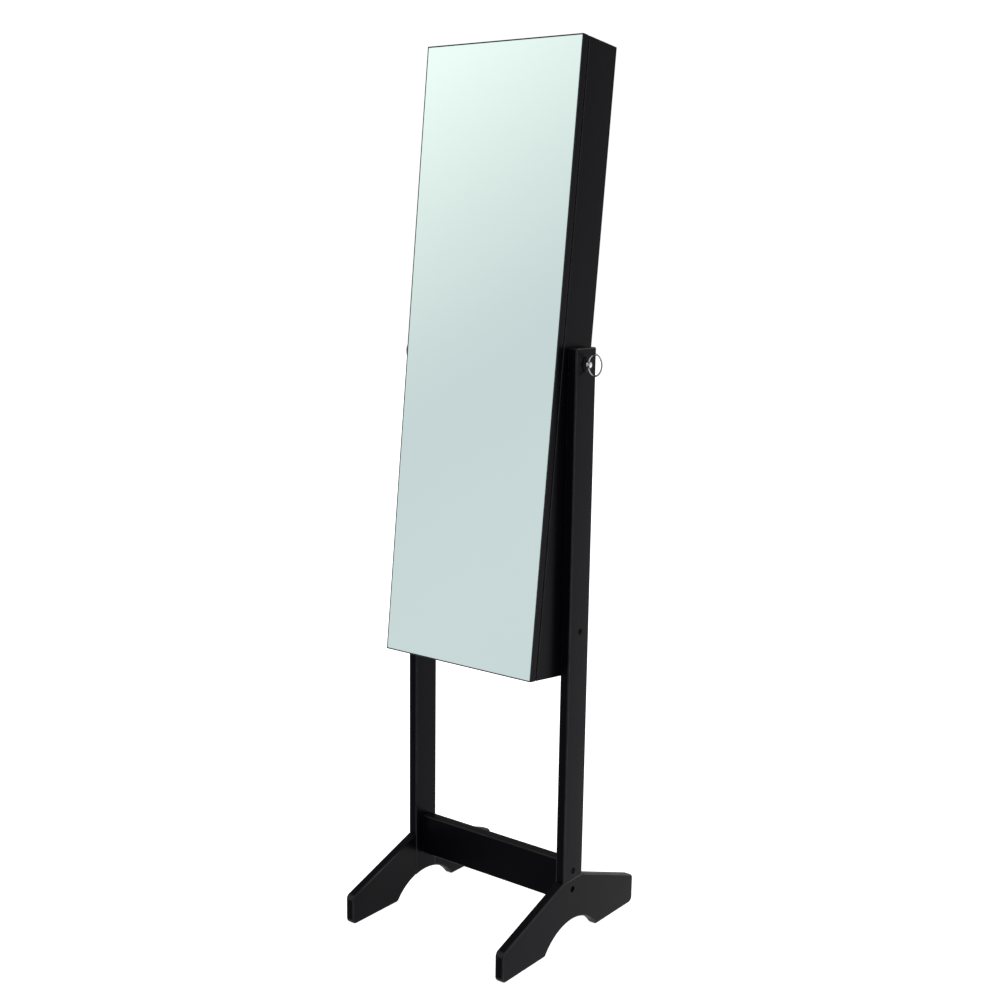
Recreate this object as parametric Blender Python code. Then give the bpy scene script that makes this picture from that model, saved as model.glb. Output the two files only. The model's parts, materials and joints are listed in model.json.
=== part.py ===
"""Cheval floor mirror with a jewellery cabinet behind its glass.

Metres, +Z up, +X to the viewer's right, +Y towards the back; the mirror faces -Y.
The origin is on the floor, midway between the four foot ends.
The cabinet is built upright about its pivot and leaned by one parent empty.
"""
from math import acos, atan2, cos, pi, radians, sin, sqrt, tan

import bmesh
import bpy
from mathutils import Matrix, Vector

# ---------------------------------------------------------------- driving dimensions
GAP = 0.0003                   # air left between pieces that touch
OVERRUN = 0.002                # how far a drill starts or ends outside the wood
CUTTER = 0.010                 # how far a square cutter stands outside the board
X, Y, Z = Vector((1, 0, 0)), Vector((0, 1, 0)), Vector((0, 0, 1))

STAND_WIDTH = 0.341            # over the outer faces of the posts
POST_THICK = 0.016
POST_DEPTH = 0.054
POST_TOP = 0.996
BOARD_EDGE = 0.0022            # rounding of the stand's boards
DOOR_EDGE = 0.0010
WALL_EDGE = 0.0014

FOOT_LENGTH = 0.381
FOOT_THICK = 0.016
FOOT_END_HEIGHT = 0.051
FOOT_SHOULDER = 0.1124         # height of the foot where it meets the post
FOOT_CORNER = 0.009
ARCH_HALF = 0.075
ARCH_RISE = 0.0376
TONGUE = 0.009                 # thickness of the post's lower end, let into the foot
TONGUE_PROUD = 0.0010          # how far the tongue stands out of the foot's inner face

LOWER_BAR = {"thick": 0.020, "bottom": 0.0718, "height": 0.0732, "y": 0.0}
UPPER_BAR = {"thick": 0.014, "bottom": 0.516, "height": 0.050, "y": 0.0026}
LOWER_BOLT_HEIGHTS = (0.0932, 0.1266)
UPPER_BOLT_HEIGHT = 0.541

BOLT_R = 0.003
BOLT_HEAD_R = 0.0052
BOLT_HEAD_THICK = 0.0042
BOLT_RECESS = 0.0088           # depth of the counterbore in the post's outer face
BOLT_LENGTH = 0.050
BOLT_CHAMFER = 0.0004
SOCKET_ACROSS = 0.004
SOCKET_DEPTH = 0.0024
NUT_R = 0.005
NUT_INSET = 0.030              # from the bar's end to the barrel nut
NUT_SHORT = 0.006              # the nut is this much shorter than the rail is thick
NUT_SKIN = 0.0026              # rail left in front of the nut's bore
BORE_BEYOND = 0.012            # how far the bolt's bore runs on past its nut
CLEAR = 0.0004                 # radial clearance of drilled holes
POST_HOLE = 0.030              # drilled right through a post and the foot beside it
PIVOT_HOLE_R = 0.0036
SPACER_R = 0.011

PIVOT_Z = 0.9700
LEAN = radians(6.0)
CAB_WIDTH = 0.304
CAB_ABOVE = 0.485              # cabinet top above the pivot
CAB_BELOW = 0.501              # cabinet bottom below the pivot
BOX_DEPTH = 0.075
BOX_WALL = 0.012
BACK_THICK = 0.003
BACK_INSET = 0.001             # the back panel lies this far inside the rear edges
REBATE = 0.005                 # how far the walls lap the back panel
LINING_THICK = 0.0015
INNER_EDGE = 0.0008            # rounding of the boards inside the cabinet
PIVOT_BLOCK = {"half": 0.022, "thick": 0.016, "edge": 0.0010}
INSERT_R = 0.0060              # of the insert's flanged half, in the wall
INSERT_NECK_R = 0.0048         # of its other half, in the pivot block
INSERT_STEP = 0.0116
INSERT_LENGTH = 0.026
INSERT_SUNK = 0.0006

DOOR_GAP = 0.0024
DOOR_THICK = 0.014
GLASS_THICK = 0.003
GLASS_BORDER = 0.0016
GLASS_RECESS = 0.0034
GLASS_ARRIS = 0.0004

SHELF_THICK = 0.008
SHELF_TOPS = {"shelf_upper": 0.167, "shelf_middle": -0.193, "shelf_lower": -0.338}
SHELF_SETBACK = 0.006          # from the box's front edge to the shelf's lip
LIP_HEIGHT = 0.012
LIP_THICK = 0.005

HOOKS = {"count": 7, "pitch": 0.036, "height": 0.437, "reach": 0.020, "rise": 0.009, "wire": 0.0030}
HOOK_STRIP = {"half_height": 0.010, "thick": 0.002, "short": 0.010}
ROLLS = {"count": 3, "top": 0.142, "height": 0.024, "depth": 0.018, "short": 0.020, "gap": 0.0006}
ROLL_FRONT_R, ROLL_BACK_R = 0.0095, 0.002
EARRING_BARS = {"earring_bar_upper": -0.033, "earring_bar_lower": -0.108}
EARRING_BAR = {"rear": 0.004, "front": -0.008, "thick": 0.003}
NOTCHES = {"count": 11, "pitch": 0.023, "half": 0.0015, "deep": 0.005}
BRACELET_DROP = 0.030          # rod's axis below the middle shelf
BRACELET_R = 0.004
BRACELET_FLANGE_R = 0.008
BRACELET_FLANGE_THICK = 0.003
CATCH_HEIGHTS = {"upper": 0.422, "lower": -0.443}
CATCH = {"width": 0.013, "proud": 0.0004, "deep": 0.012, "half_height": 0.018, "edge": 0.0008}
STRIKE = {"inset": 0.002, "thick": 0.0012, "half_height": 0.015}

HINGE_HEIGHTS = (0.367, -0.008, -0.383)
HINGE_LENGTH = 0.050
LEAF_THICK = 0.0007
LEAF_WIDTH = 0.0105
TAB_LAP = 0.001                # how far a knuckle's tab runs into the leaf
KNUCKLE_R = 0.0022
KNUCKLE_BORE = 0.0012
PIN_R = 0.0009
HINGE_OUT = 0.0025             # the hinge axis lies this far outside the cabinet's side

DOOR_LINING = {"margin": 0.020, "end": 0.008, "thick": 0.0025, "edge": 0.0010}

RING_REACH = 0.0159            # ring centre beyond the post's outer face
RING_HALF_WIDTH = 0.0128       # to the middle of the ring's wire; the ring is an upright oval
RING_HALF_HEIGHT = 0.0167
RING_WIRE = 0.0015             # radius of the wire
COLLAR_R = 0.0115
COLLAR_THICK = 0.0016
BOSS_R = 0.0046
BOSS_REACH = 0.0080            # the boss that holds the ring ends this far out
SHANK_BEYOND = 0.012           # how far the shank runs past the inner face of the cabinet's wall
RING_BOLT_CHAMFER = 0.0006

POST_OUT = STAND_WIDTH / 2
POST_IN = POST_OUT - POST_THICK
RAIL_HALF = POST_IN - TONGUE_PROUD - GAP
CAB_HALF = CAB_WIDTH / 2
INNER_HALF = CAB_HALF - BOX_WALL
BOX_BACK = BOX_DEPTH / 2       # the pivot is on the middle of the box's depth
BOX_FRONT = -BOX_DEPTH / 2
DOOR_BACK = BOX_FRONT - DOOR_GAP
DOOR_FRONT = DOOR_BACK - DOOR_THICK
BACK_FRONT = BOX_BACK - BACK_INSET - BACK_THICK
LINING_FRONT = BACK_FRONT - GAP - LINING_THICK
INNER_TOP = CAB_ABOVE - BOX_WALL
INNER_BOTTOM = -CAB_BELOW + BOX_WALL
HINGE_AXIS = Vector((-CAB_HALF - HINGE_OUT, BOX_FRONT - DOOR_GAP / 2, 0.0))
ARCH_R = (ARCH_HALF ** 2 + ARCH_RISE ** 2) / (2 * ARCH_RISE)

# ---------------------------------------------------------------- materials
FINISHES = {
    "black_lacquer": ((0.022, 0.022, 0.024, 1), 0.34, 0.0),
    "silvered_glass": ((0.80, 0.89, 0.86, 1), 0.03, 1.0),
    "chrome": ((0.78, 0.79, 0.80, 1), 0.10, 1.0),
    "zinc_steel": ((0.45, 0.45, 0.46, 1), 0.35, 1.0),
    "brass": ((0.78, 0.60, 0.28, 1), 0.30, 1.0),
    "black_velvet": ((0.018, 0.016, 0.020, 1), 0.95, 0.0),
    "hardboard": ((0.030, 0.029, 0.030, 1), 0.70, 0.0),
    "nylon": ((0.10, 0.10, 0.10, 1), 0.55, 0.0),
    "black_plastic": ((0.030, 0.030, 0.032, 1), 0.45, 0.0),
}


def finish(name, piece):
    """A Principled material of the piece's own, in one of the finishes."""
    colour, roughness, metallic = FINISHES[name]
    material = bpy.data.materials.new(f"{piece}_{name}")
    material.use_nodes = True
    shader = material.node_tree.nodes["Principled BSDF"]
    shader.inputs["Base Color"].default_value = colour
    shader.inputs["Roughness"].default_value = roughness
    shader.inputs["Metallic"].default_value = metallic
    material.diffuse_color = colour
    return material


# ---------------------------------------------------------------- shape helpers
def add(name, bm, material=None, parent=None):
    """Put a finished bmesh into the scene as one named object."""
    bmesh.ops.recalc_face_normals(bm, faces=bm.faces)
    mesh = bpy.data.meshes.new(name)
    bm.to_mesh(mesh)
    bm.free()
    mesh.shade_smooth()
    mesh.set_sharp_from_angle(angle=radians(35))
    piece = bpy.data.objects.new(name, mesh)
    bpy.context.scene.collection.objects.link(piece)
    if material:
        mesh.materials.append(finish(material, name))
    piece.parent = parent
    return piece


def frame_empty(name, location, rotation=(0, 0, 0), parent=None):
    frame = bpy.data.objects.new(name, None)
    bpy.context.scene.collection.objects.link(frame)
    frame.location = location
    frame.rotation_euler = rotation
    frame.parent = parent
    return frame


def block(low, high):
    """A plain box between two corners."""
    low, high = Vector(low), Vector(high)
    bm = bmesh.new()
    bmesh.ops.create_cube(bm, size=1.0)
    bmesh.ops.scale(bm, vec=high - low, verts=bm.verts)
    bmesh.ops.translate(bm, vec=(low + high) / 2, verts=bm.verts)
    return bm


def plate(outline, normal, start, end):
    """A flat outline, drawn in the two axes other than normal, made solid from start to end."""
    order = {"x": (2, 0, 1), "y": (0, 2, 1), "z": (0, 1, 2)}[normal]
    bm = bmesh.new()
    ring = []
    for point in outline:
        flat = (point[0], point[1], start)
        ring.append(bm.verts.new([flat[i] for i in order]))
    face = bm.faces.new(ring)
    grown = bmesh.ops.extrude_face_region(bm, geom=[face])
    along = {"x": X, "y": Y, "z": Z}[normal]
    moved = [v for v in grown["geom"] if isinstance(v, bmesh.types.BMVert)]
    bmesh.ops.translate(bm, vec=along * (end - start), verts=moved)
    return bm


def turned(profile, origin, direction, sides=24, hollow=False):
    """A turned solid: profile is (distance along the axis, radius) from one end to the other.

    A hollow one has a closed profile, whose last point meets its first.
    """
    turn = Vector(direction).to_track_quat("Z", "Y").to_matrix().to_4x4()
    place = Matrix.Translation(origin) @ turn
    bm = bmesh.new()
    rings = []
    for along, radius in profile:
        ring = []
        for i in range(sides):
            a = 2 * pi * i / sides
            spot = Vector((radius * cos(a), radius * sin(a), along))
            ring.append(bm.verts.new(place @ spot))
        rings.append(ring)
    followers = rings[1:] + rings[:1] if hollow else rings[1:]
    for lower, upper in zip(rings, followers):
        for i in range(sides):
            j = (i + 1) % sides
            bm.faces.new((lower[i], lower[j], upper[j], upper[i]))
    if not hollow:
        bm.faces.new(list(reversed(rings[0])))
        bm.faces.new(rings[-1])
    return bm


def rod(radius, origin, direction, length, sides=24):
    return turned([(0.0, radius), (length, radius)], origin, direction, sides)


def tube(outer, bore, origin, direction, length, sides=24):
    """A plain sleeve."""
    profile = [(0.0, bore), (0.0, outer), (length, outer), (length, bore)]
    return turned(profile, origin, direction, sides, hollow=True)


def rounded_outline(corners, steps=5):
    """Points of a closed outline whose corners (u, v, radius) are rounded by arcs."""
    points = []
    count = len(corners)
    for i, (u, v, radius) in enumerate(corners):
        here = Vector((u, v))
        if radius <= 0:
            points.append((u, v))
            continue
        before = (Vector(corners[i - 1][:2]) - here).normalized()
        after = (Vector(corners[(i + 1) % count][:2]) - here).normalized()
        half = acos(before.dot(after)) / 2
        centre = here + (before + after).normalized() * radius / sin(half)
        first = here + before * radius / tan(half) - centre
        last = here + after * radius / tan(half) - centre
        a0 = atan2(first.y, first.x)
        turn = (atan2(last.y, last.x) - a0 + pi) % (2 * pi) - pi
        for step in range(steps + 1):
            a = a0 + turn * step / steps
            points.append((centre.x + radius * cos(a), centre.y + radius * sin(a)))
    return points


def arch(start, end, steps):
    """Points of the foot's arch between two positions along Y."""
    points = []
    for step in range(steps + 1):
        y = start + (end - start) * step / steps
        points.append((y, ARCH_RISE - ARCH_R + sqrt(ARCH_R ** 2 - y ** 2)))
    return points


def round_edges(piece, width, segments=2):
    """Round the outward corners; inward ones stay sharp, as a cutter leaves them."""
    bm = bmesh.new()
    bm.from_mesh(piece.data)
    weight = bm.edges.layers.float.new("bevel_weight_edge")
    for edge in bm.edges:
        edge[weight] = 1.0 if edge.calc_face_angle_signed() > radians(40) else 0.0
    bm.to_mesh(piece.data)
    bm.free()
    bevel = piece.modifiers.new("rounded edges", "BEVEL")
    bevel.width = width
    bevel.segments = segments
    bevel.limit_method = "WEIGHT"


def combine(piece, tool, operation):
    """Cut or join another solid, which stays in the file as a hidden guide."""
    tool.hide_render = True
    tool.display_type = "WIRE"
    step = piece.modifiers.new(tool.name, "BOOLEAN")
    step.operation = operation
    step.object = tool


def drill(piece, name, radius, origin, direction, depth, sides=16):
    """A round hole from just outside a face into or through a piece."""
    direction = Vector(direction)
    start = Vector(origin) - direction * OVERRUN
    hole = rod(radius, start, direction, depth + OVERRUN, sides)
    combine(piece, add(name, hole, parent=piece.parent), "DIFFERENCE")


def cut_block(piece, name, low, high):
    combine(piece, add(name, block(low, high), parent=piece.parent), "DIFFERENCE")


# ---------------------------------------------------------------- stand
def foot_outline():
    """Side view of a foot: two flat pads, an arch between them and slopes up to the post."""
    end = FOOT_LENGTH / 2
    shoulder = POST_DEPTH / 2
    left = [(-end, 0.0, FOOT_CORNER), (-end, FOOT_END_HEIGHT, FOOT_CORNER)]
    top = [(-shoulder, FOOT_SHOULDER, 0.0), (shoulder, FOOT_SHOULDER, 0.0)]
    right = [(end, FOOT_END_HEIGHT, FOOT_CORNER), (end, 0.0, FOOT_CORNER)]
    arch_points = [(y, z, 0.0) for y, z in arch(ARCH_HALF, -ARCH_HALF, 18)]
    return rounded_outline(left + top + right + arch_points)


def make_foot(name, side):
    """side is +1 for the right foot, -1 for the left one."""
    outer, inner = side * POST_OUT, side * (POST_OUT - FOOT_THICK)
    solid = plate(foot_outline(), "x", min(outer, inner), max(outer, inner))
    foot = add(name, solid, "black_lacquer")
    round_edges(foot, BOARD_EDGE)
    wall = side * (POST_IN + TONGUE - TONGUE_PROUD + GAP)
    beyond = inner - side * CUTTER
    half = POST_DEPTH / 2 + GAP
    low = (min(wall, beyond), -half, 0.0)
    high = (max(wall, beyond), half, FOOT_SHOULDER + CUTTER)
    cut_block(foot, f"{name}_housing", low, high)
    return foot


def make_post(name, side):
    """An upright board; its lower end is halved and let into the foot's inner face."""
    half = POST_DEPTH / 2
    outline = arch(-half, half, 6) + [(half, POST_TOP), (-half, POST_TOP)]
    outer, inner = side * POST_OUT, side * (POST_IN - TONGUE_PROUD)
    solid = plate(outline, "x", min(outer, inner), max(outer, inner))
    post = add(name, solid, "black_lacquer")
    round_edges(post, BOARD_EDGE)
    cheek = side * (POST_IN + TONGUE - TONGUE_PROUD)
    beyond = outer + side * CUTTER
    low = (min(cheek, beyond), -half - CUTTER, 0.0)
    high = (max(cheek, beyond), half + CUTTER, FOOT_SHOULDER + GAP)
    cut_block(post, f"{name}_shoulder", low, high)
    return post


def make_bar(name, size):
    """A cross rail between the posts."""
    half = RAIL_HALF
    low = (-half, size["y"] - size["thick"] / 2, size["bottom"])
    high = (half, size["y"] + size["thick"] / 2, size["bottom"] + size["height"])
    bar = add(name, block(low, high), "black_lacquer")
    round_edges(bar, BOARD_EDGE)
    return bar


def make_bolt(name, side, y, z):
    """A socket-head connector bolt, its head sunk in the post's outer face."""
    face = side * (POST_OUT - BOLT_RECESS + BOLT_HEAD_THICK + GAP)
    profile = [(0.0, BOLT_HEAD_R - BOLT_CHAMFER), (BOLT_CHAMFER, BOLT_HEAD_R),
               (BOLT_HEAD_THICK, BOLT_HEAD_R), (BOLT_HEAD_THICK, BOLT_R),
               (BOLT_LENGTH - BOLT_CHAMFER, BOLT_R), (BOLT_LENGTH, BOLT_R - BOLT_CHAMFER)]
    bolt = add(name, turned(profile, (face, y, z), -side * X, 20), "zinc_steel")
    socket_r = SOCKET_ACROSS / 2 / cos(pi / 6)
    drill(bolt, f"{name}_socket", socket_r, (face, y, z), -side * X, SOCKET_DEPTH, sides=6)
    return bolt


def make_nut(name, side, bar, z):
    """A barrel nut across the rail, with the bolt running through it."""
    x = side * (RAIL_HALF - NUT_INSET)
    length = bar["thick"] - NUT_SHORT
    start = (x, bar["y"] + length / 2, z)
    nut = add(name, rod(NUT_R, start, -Y, length, 16), "zinc_steel")
    reach = NUT_R + GAP
    drill(nut, f"{name}_thread", BOLT_R + CLEAR, (x + side * reach, bar["y"], z), -side * X, 2 * reach, 12)
    return nut


def bolt_up(name, side, post, foot, rail, bar, z):
    """Drill post, foot and rail for one bolt, then put in the bolt and its barrel nut."""
    y = bar["y"]
    outside = (side * POST_OUT, y, z)
    inwards = -side * X
    for piece in (post, foot) if foot else (post,):
        drill(piece, f"{name}_recess_{piece.name}", BOLT_HEAD_R + CLEAR, outside, inwards, BOLT_RECESS, 24)
        drill(piece, f"{name}_hole_{piece.name}", BOLT_R + CLEAR, outside, inwards, POST_HOLE, 12)
    rail_end = side * RAIL_HALF
    drill(rail, f"{name}_bore", BOLT_R + CLEAR, (rail_end, y, z), inwards, NUT_INSET + BORE_BEYOND, 12)
    nut_x = rail_end - side * NUT_INSET
    back = (nut_x, y + bar["thick"] / 2, z)
    drill(rail, f"{name}_nut_bore", NUT_R + CLEAR, back, -Y, bar["thick"] - NUT_SKIN)
    make_bolt(name, side, y, z)
    make_nut(name.replace("bolt", "barrel_nut"), side, bar, z)


def make_stand():
    lower_rail = make_bar("lower_rail", LOWER_BAR)
    upper_rail = make_bar("upper_rail", UPPER_BAR)
    for side, word in ((1, "right"), (-1, "left")):
        foot = make_foot(f"{word}_foot", side)
        post = make_post(f"{word}_post", side)
        low_z, mid_z = LOWER_BOLT_HEIGHTS
        bolt_up(f"{word}_lower_bolt", side, post, foot, lower_rail, LOWER_BAR, low_z)
        bolt_up(f"{word}_middle_bolt", side, post, None, lower_rail, LOWER_BAR, mid_z)
        bolt_up(f"{word}_upper_bolt", side, post, None, upper_rail, UPPER_BAR, UPPER_BOLT_HEIGHT)
        outside = (side * POST_OUT, 0.0, PIVOT_Z)
        drill(post, f"{word}_pivot_hole", PIVOT_HOLE_R, outside, -side * X, POST_HOLE)
        make_spacer(f"{word}_spacer", side)


def make_spacer(name, side):
    """The thin washer that keeps the cabinet off the post."""
    start = side * (CAB_HALF + GAP)
    length = POST_IN - TONGUE_PROUD - CAB_HALF - 2 * GAP
    add(name, tube(SPACER_R, PIVOT_HOLE_R, (start, 0, PIVOT_Z), side * X, length), "nylon")


# ---------------------------------------------------------------- ring bolts
def ring_solid(centre, sides=32, wire_sides=8):
    """An upright oval ring of round wire, standing in the XZ plane."""
    bm = bmesh.new()
    loops = []
    for i in range(sides):
        a = 2 * pi * i / sides
        spine = Vector((RING_HALF_WIDTH * cos(a), 0.0, RING_HALF_HEIGHT * sin(a)))
        out = Vector((RING_HALF_HEIGHT * cos(a), 0.0, RING_HALF_WIDTH * sin(a))).normalized()
        loop = []
        for j in range(wire_sides):
            b = 2 * pi * j / wire_sides
            spot = centre + spine + out * RING_WIRE * cos(b) + Y * RING_WIRE * sin(b)
            loop.append(bm.verts.new(spot))
        loops.append(loop)
    for i in range(sides):
        here, there = loops[i], loops[(i + 1) % sides]
        for j in range(wire_sides):
            k = (j + 1) % wire_sides
            bm.faces.new((here[j], here[k], there[k], there[j]))
    return bm


def make_ring_bolt(name, side):
    """A ring bolt: collar against the post, shank through it into the cabinet's insert."""
    pivot = frame_empty(f"{name}_axis", (side * POST_OUT, 0.0, PIVOT_Z))
    tip = -(POST_OUT - INNER_HALF + SHANK_BEYOND)
    chamfer = RING_BOLT_CHAMFER
    profile = [(tip, BOLT_R - chamfer), (tip + chamfer, BOLT_R), (GAP, BOLT_R),
               (GAP, COLLAR_R), (COLLAR_THICK - chamfer, COLLAR_R), (COLLAR_THICK, COLLAR_R - chamfer),
               (COLLAR_THICK, BOSS_R), (BOSS_REACH - chamfer, BOSS_R), (BOSS_REACH, BOSS_R - chamfer)]
    bolt = add(name, turned(profile, (0, 0, 0), side * X), "chrome", pivot)
    ring = add(f"{name}_ring", ring_solid(side * RING_REACH * X), parent=pivot)
    combine(bolt, ring, "UNION")


# ---------------------------------------------------------------- cabinet box
def make_wall(name, side, cabinet):
    """A side wall, rebated along its rear inner edge for the back panel."""
    lap = BOX_BACK - BACK_INSET - BACK_THICK - GAP
    outline = [(CAB_HALF, BOX_FRONT), (CAB_HALF, BOX_BACK), (INNER_HALF + REBATE, BOX_BACK),
               (INNER_HALF + REBATE, lap), (INNER_HALF, lap), (INNER_HALF, BOX_FRONT)]
    outline = [(side * x, y) for x, y in outline]
    wall = add(name, plate(outline, "z", -CAB_BELOW, CAB_ABOVE), "black_lacquer", cabinet)
    round_edges(wall, WALL_EDGE)
    outside = (side * CAB_HALF, 0, 0)
    drill(wall, f"{name}_pivot_hole", INSERT_R + CLEAR, outside, -side * X, BOX_WALL + OVERRUN)
    return wall


def make_cap(name, inner, outer, cabinet):
    """Top or bottom board, between the side walls, rebated for the back panel."""
    lap = BOX_BACK - BACK_INSET - BACK_THICK - GAP
    toward = 1 if outer > inner else -1
    outline = [(BOX_FRONT, inner), (BOX_FRONT, outer), (BOX_BACK, outer),
               (BOX_BACK, inner + toward * REBATE), (lap, inner + toward * REBATE), (lap, inner)]
    half = INNER_HALF - GAP
    cap = add(name, plate(outline, "x", -half, half), "black_lacquer", cabinet)
    round_edges(cap, INNER_EDGE, 1)
    return cap


def make_box(cabinet):
    for side, word in ((1, "right"), (-1, "left")):
        make_wall(f"{word}_wall", side, cabinet)
        make_pivot_block(f"{word}_pivot_block", side, cabinet)
        make_insert(f"{word}_insert", side, cabinet)
    make_cap("cabinet_top", INNER_TOP, CAB_ABOVE, cabinet)
    make_cap("cabinet_bottom", INNER_BOTTOM, -CAB_BELOW, cabinet)
    margin = REBATE - GAP
    low = (-INNER_HALF - margin, BACK_FRONT, INNER_BOTTOM - margin)
    high = (INNER_HALF + margin, BACK_FRONT + BACK_THICK, INNER_TOP + margin)
    add("back_panel", block(low, high), "hardboard", cabinet)
    low = (-INNER_HALF + GAP, LINING_FRONT, INNER_BOTTOM + GAP)
    high = (INNER_HALF - GAP, LINING_FRONT + LINING_THICK, INNER_TOP - GAP)
    add("back_lining", block(low, high), "black_velvet", cabinet)


def make_pivot_block(name, side, cabinet):
    """The hardwood block that backs the wall where the ring bolt pulls on it."""
    half, thick = PIVOT_BLOCK["half"], PIVOT_BLOCK["thick"]
    near, far = side * (INNER_HALF - GAP), side * (INNER_HALF - thick)
    low = (min(near, far), -half, -half)
    high = (max(near, far), half, half)
    pad = add(name, block(low, high), "black_lacquer", cabinet)
    round_edges(pad, PIVOT_BLOCK["edge"], 1)
    drill(pad, f"{name}_hole", INSERT_NECK_R + CLEAR, (near, 0, 0), -side * X, thick + OVERRUN)


def make_insert(name, side, cabinet):
    """The flanged brass sleeve, threaded for the ring bolt, that the cabinet hangs on."""
    start = side * (CAB_HALF - INSERT_SUNK)
    sleeve = turned([(0, INSERT_R), (INSERT_STEP, INSERT_R), (INSERT_STEP, INSERT_NECK_R),
                     (INSERT_LENGTH, INSERT_NECK_R)], (start, 0, 0), -side * X)
    insert = add(name, sleeve, "brass", cabinet)
    drill(insert, f"{name}_thread", BOLT_R + CLEAR, (start, 0, 0), -side * X, INSERT_LENGTH + OVERRUN)


# ---------------------------------------------------------------- cabinet fittings
def make_shelf(name, top, cabinet):
    """A shelf with a low lip along its front edge."""
    front, rear = BOX_FRONT + SHELF_SETBACK, LINING_FRONT - GAP
    outline = [(front, top - SHELF_THICK), (rear, top - SHELF_THICK), (rear, top),
               (front + LIP_THICK, top), (front + LIP_THICK, top + LIP_HEIGHT),
               (front, top + LIP_HEIGHT)]
    half = INNER_HALF - GAP
    shelf = add(name, plate(outline, "x", -half, half), "black_lacquer", cabinet)
    round_edges(shelf, INNER_EDGE, 1)


def make_hook_rail(cabinet):
    """A steel strip with a row of bent hooks for necklaces."""
    z, rear = HOOKS["height"], LINING_FRONT - GAP
    half = INNER_HALF - HOOK_STRIP["short"]
    low = (-half, rear - HOOK_STRIP["thick"], z - HOOK_STRIP["half_height"])
    high = (half, rear, z + HOOK_STRIP["half_height"])
    rail = add("hook_rail", block(low, high), "chrome", cabinet)
    reach, rise, wire = HOOKS["reach"], HOOKS["rise"], HOOKS["wire"]
    root = rear - HOOK_STRIP["thick"] * 0.75
    profile = [(root, z - wire), (root - reach, z - wire), (root - reach, z + rise),
               (root - reach + wire, z + rise), (root - reach + wire, z), (root, z)]
    for i in range(HOOKS["count"]):
        x = (i - (HOOKS["count"] - 1) / 2) * HOOKS["pitch"]
        hook = add(f"hook_{i + 1}", plate(profile, "x", x - wire / 2, x + wire / 2), parent=cabinet)
        combine(rail, hook, "UNION")


def make_ring_rolls(cabinet):
    """Foam rolls side by side on the lining, with slots between them for rings."""
    depth, height, half = ROLLS["depth"], ROLLS["height"], INNER_HALF - ROLLS["short"]
    rear = LINING_FRONT - GAP
    for i in range(ROLLS["count"]):
        z = ROLLS["top"] - height / 2 - i * (height + ROLLS["gap"])
        corners = [(rear, z - height / 2, ROLL_BACK_R), (rear, z + height / 2, ROLL_BACK_R),
                   (rear - depth, z + height / 2, ROLL_FRONT_R),
                   (rear - depth, z - height / 2, ROLL_FRONT_R)]
        solid = plate(rounded_outline(corners), "x", -half, half)
        add(f"ring_roll_{i + 1}", solid, "black_velvet", cabinet)


def make_earring_bar(name, z, cabinet):
    """A thin bar across the box, notched along its front edge for earring hooks."""
    half = INNER_HALF - GAP
    rear, front = EARRING_BAR["rear"], EARRING_BAR["front"]
    cut, deep = NOTCHES["half"], NOTCHES["deep"]
    outline = [(half, rear), (-half, rear), (-half, front)]
    for i in range(NOTCHES["count"]):
        x = (i - (NOTCHES["count"] - 1) / 2) * NOTCHES["pitch"]
        outline += [(x - cut, front), (x - cut, front + deep), (x + cut, front + deep), (x + cut, front)]
    outline.append((half, front))
    add(name, plate(outline, "z", z, z + EARRING_BAR["thick"]), "black_plastic", cabinet)


def make_bracelet_rod(cabinet):
    """A plated rod across the box, under the middle shelf, with a flange at each end."""
    length = 2 * (INNER_HALF - GAP)
    z = SHELF_TOPS["shelf_middle"] - SHELF_THICK - BRACELET_DROP
    flange, thick = BRACELET_FLANGE_R, BRACELET_FLANGE_THICK
    profile = [(0, flange), (thick, flange), (thick, BRACELET_R), (length - thick, BRACELET_R),
               (length - thick, flange), (length, flange)]
    add("bracelet_rod", turned(profile, (-length / 2, 0, z), X), "chrome", cabinet)


def make_catches(cabinet, door):
    """Magnetic catches on the right wall and their plates on the door."""
    far, back = INNER_HALF - GAP, DOOR_BACK + GAP
    tall, low_tall = CATCH["half_height"], STRIKE["half_height"]
    for word, z in CATCH_HEIGHTS.items():
        low = (far - CATCH["width"], BOX_FRONT - CATCH["proud"], z - tall)
        high = (far, BOX_FRONT + CATCH["deep"], z + tall)
        magnet = add(f"{word}_magnet", block(low, high), "black_plastic", cabinet)
        round_edges(magnet, CATCH["edge"], 1)
        low = (far - CATCH["width"], back, z - low_tall)
        high = (far - STRIKE["inset"], back + STRIKE["thick"], z + low_tall)
        add(f"{word}_strike", block(low, high), "zinc_steel", door)


# ---------------------------------------------------------------- hinges
def make_leaf(name, z, teeth, y_low, y_high, parent):
    """One leaf of a butt hinge, with the knuckles it carries."""
    tooth = HINGE_LENGTH / 5
    near = HINGE_AXIS.x + (KNUCKLE_R + KNUCKLE_BORE) / 2
    far = HINGE_AXIS.x + HINGE_OUT + LEAF_WIDTH
    root = HINGE_AXIS.x + KNUCKLE_R + GAP
    low = z - HINGE_LENGTH / 2
    strip = block((root, y_low, low), (far, y_high, z + HINGE_LENGTH / 2))
    leaf = add(name, strip, "zinc_steel", parent)
    for index in teeth:
        start = low + index * tooth
        tab = block((near, y_low, start + GAP), (root + TAB_LAP, y_high, start + tooth - GAP))
        combine(leaf, add(f"{name}_tab_{index}", tab, parent=parent), "UNION")
        at = Vector((HINGE_AXIS.x, HINGE_AXIS.y, start + GAP))
        knuckle = tube(KNUCKLE_R, KNUCKLE_BORE, at, Z, tooth - 2 * GAP, 12)
        combine(leaf, add(f"{name}_knuckle_{index}", knuckle, parent=parent), "UNION")


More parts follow.
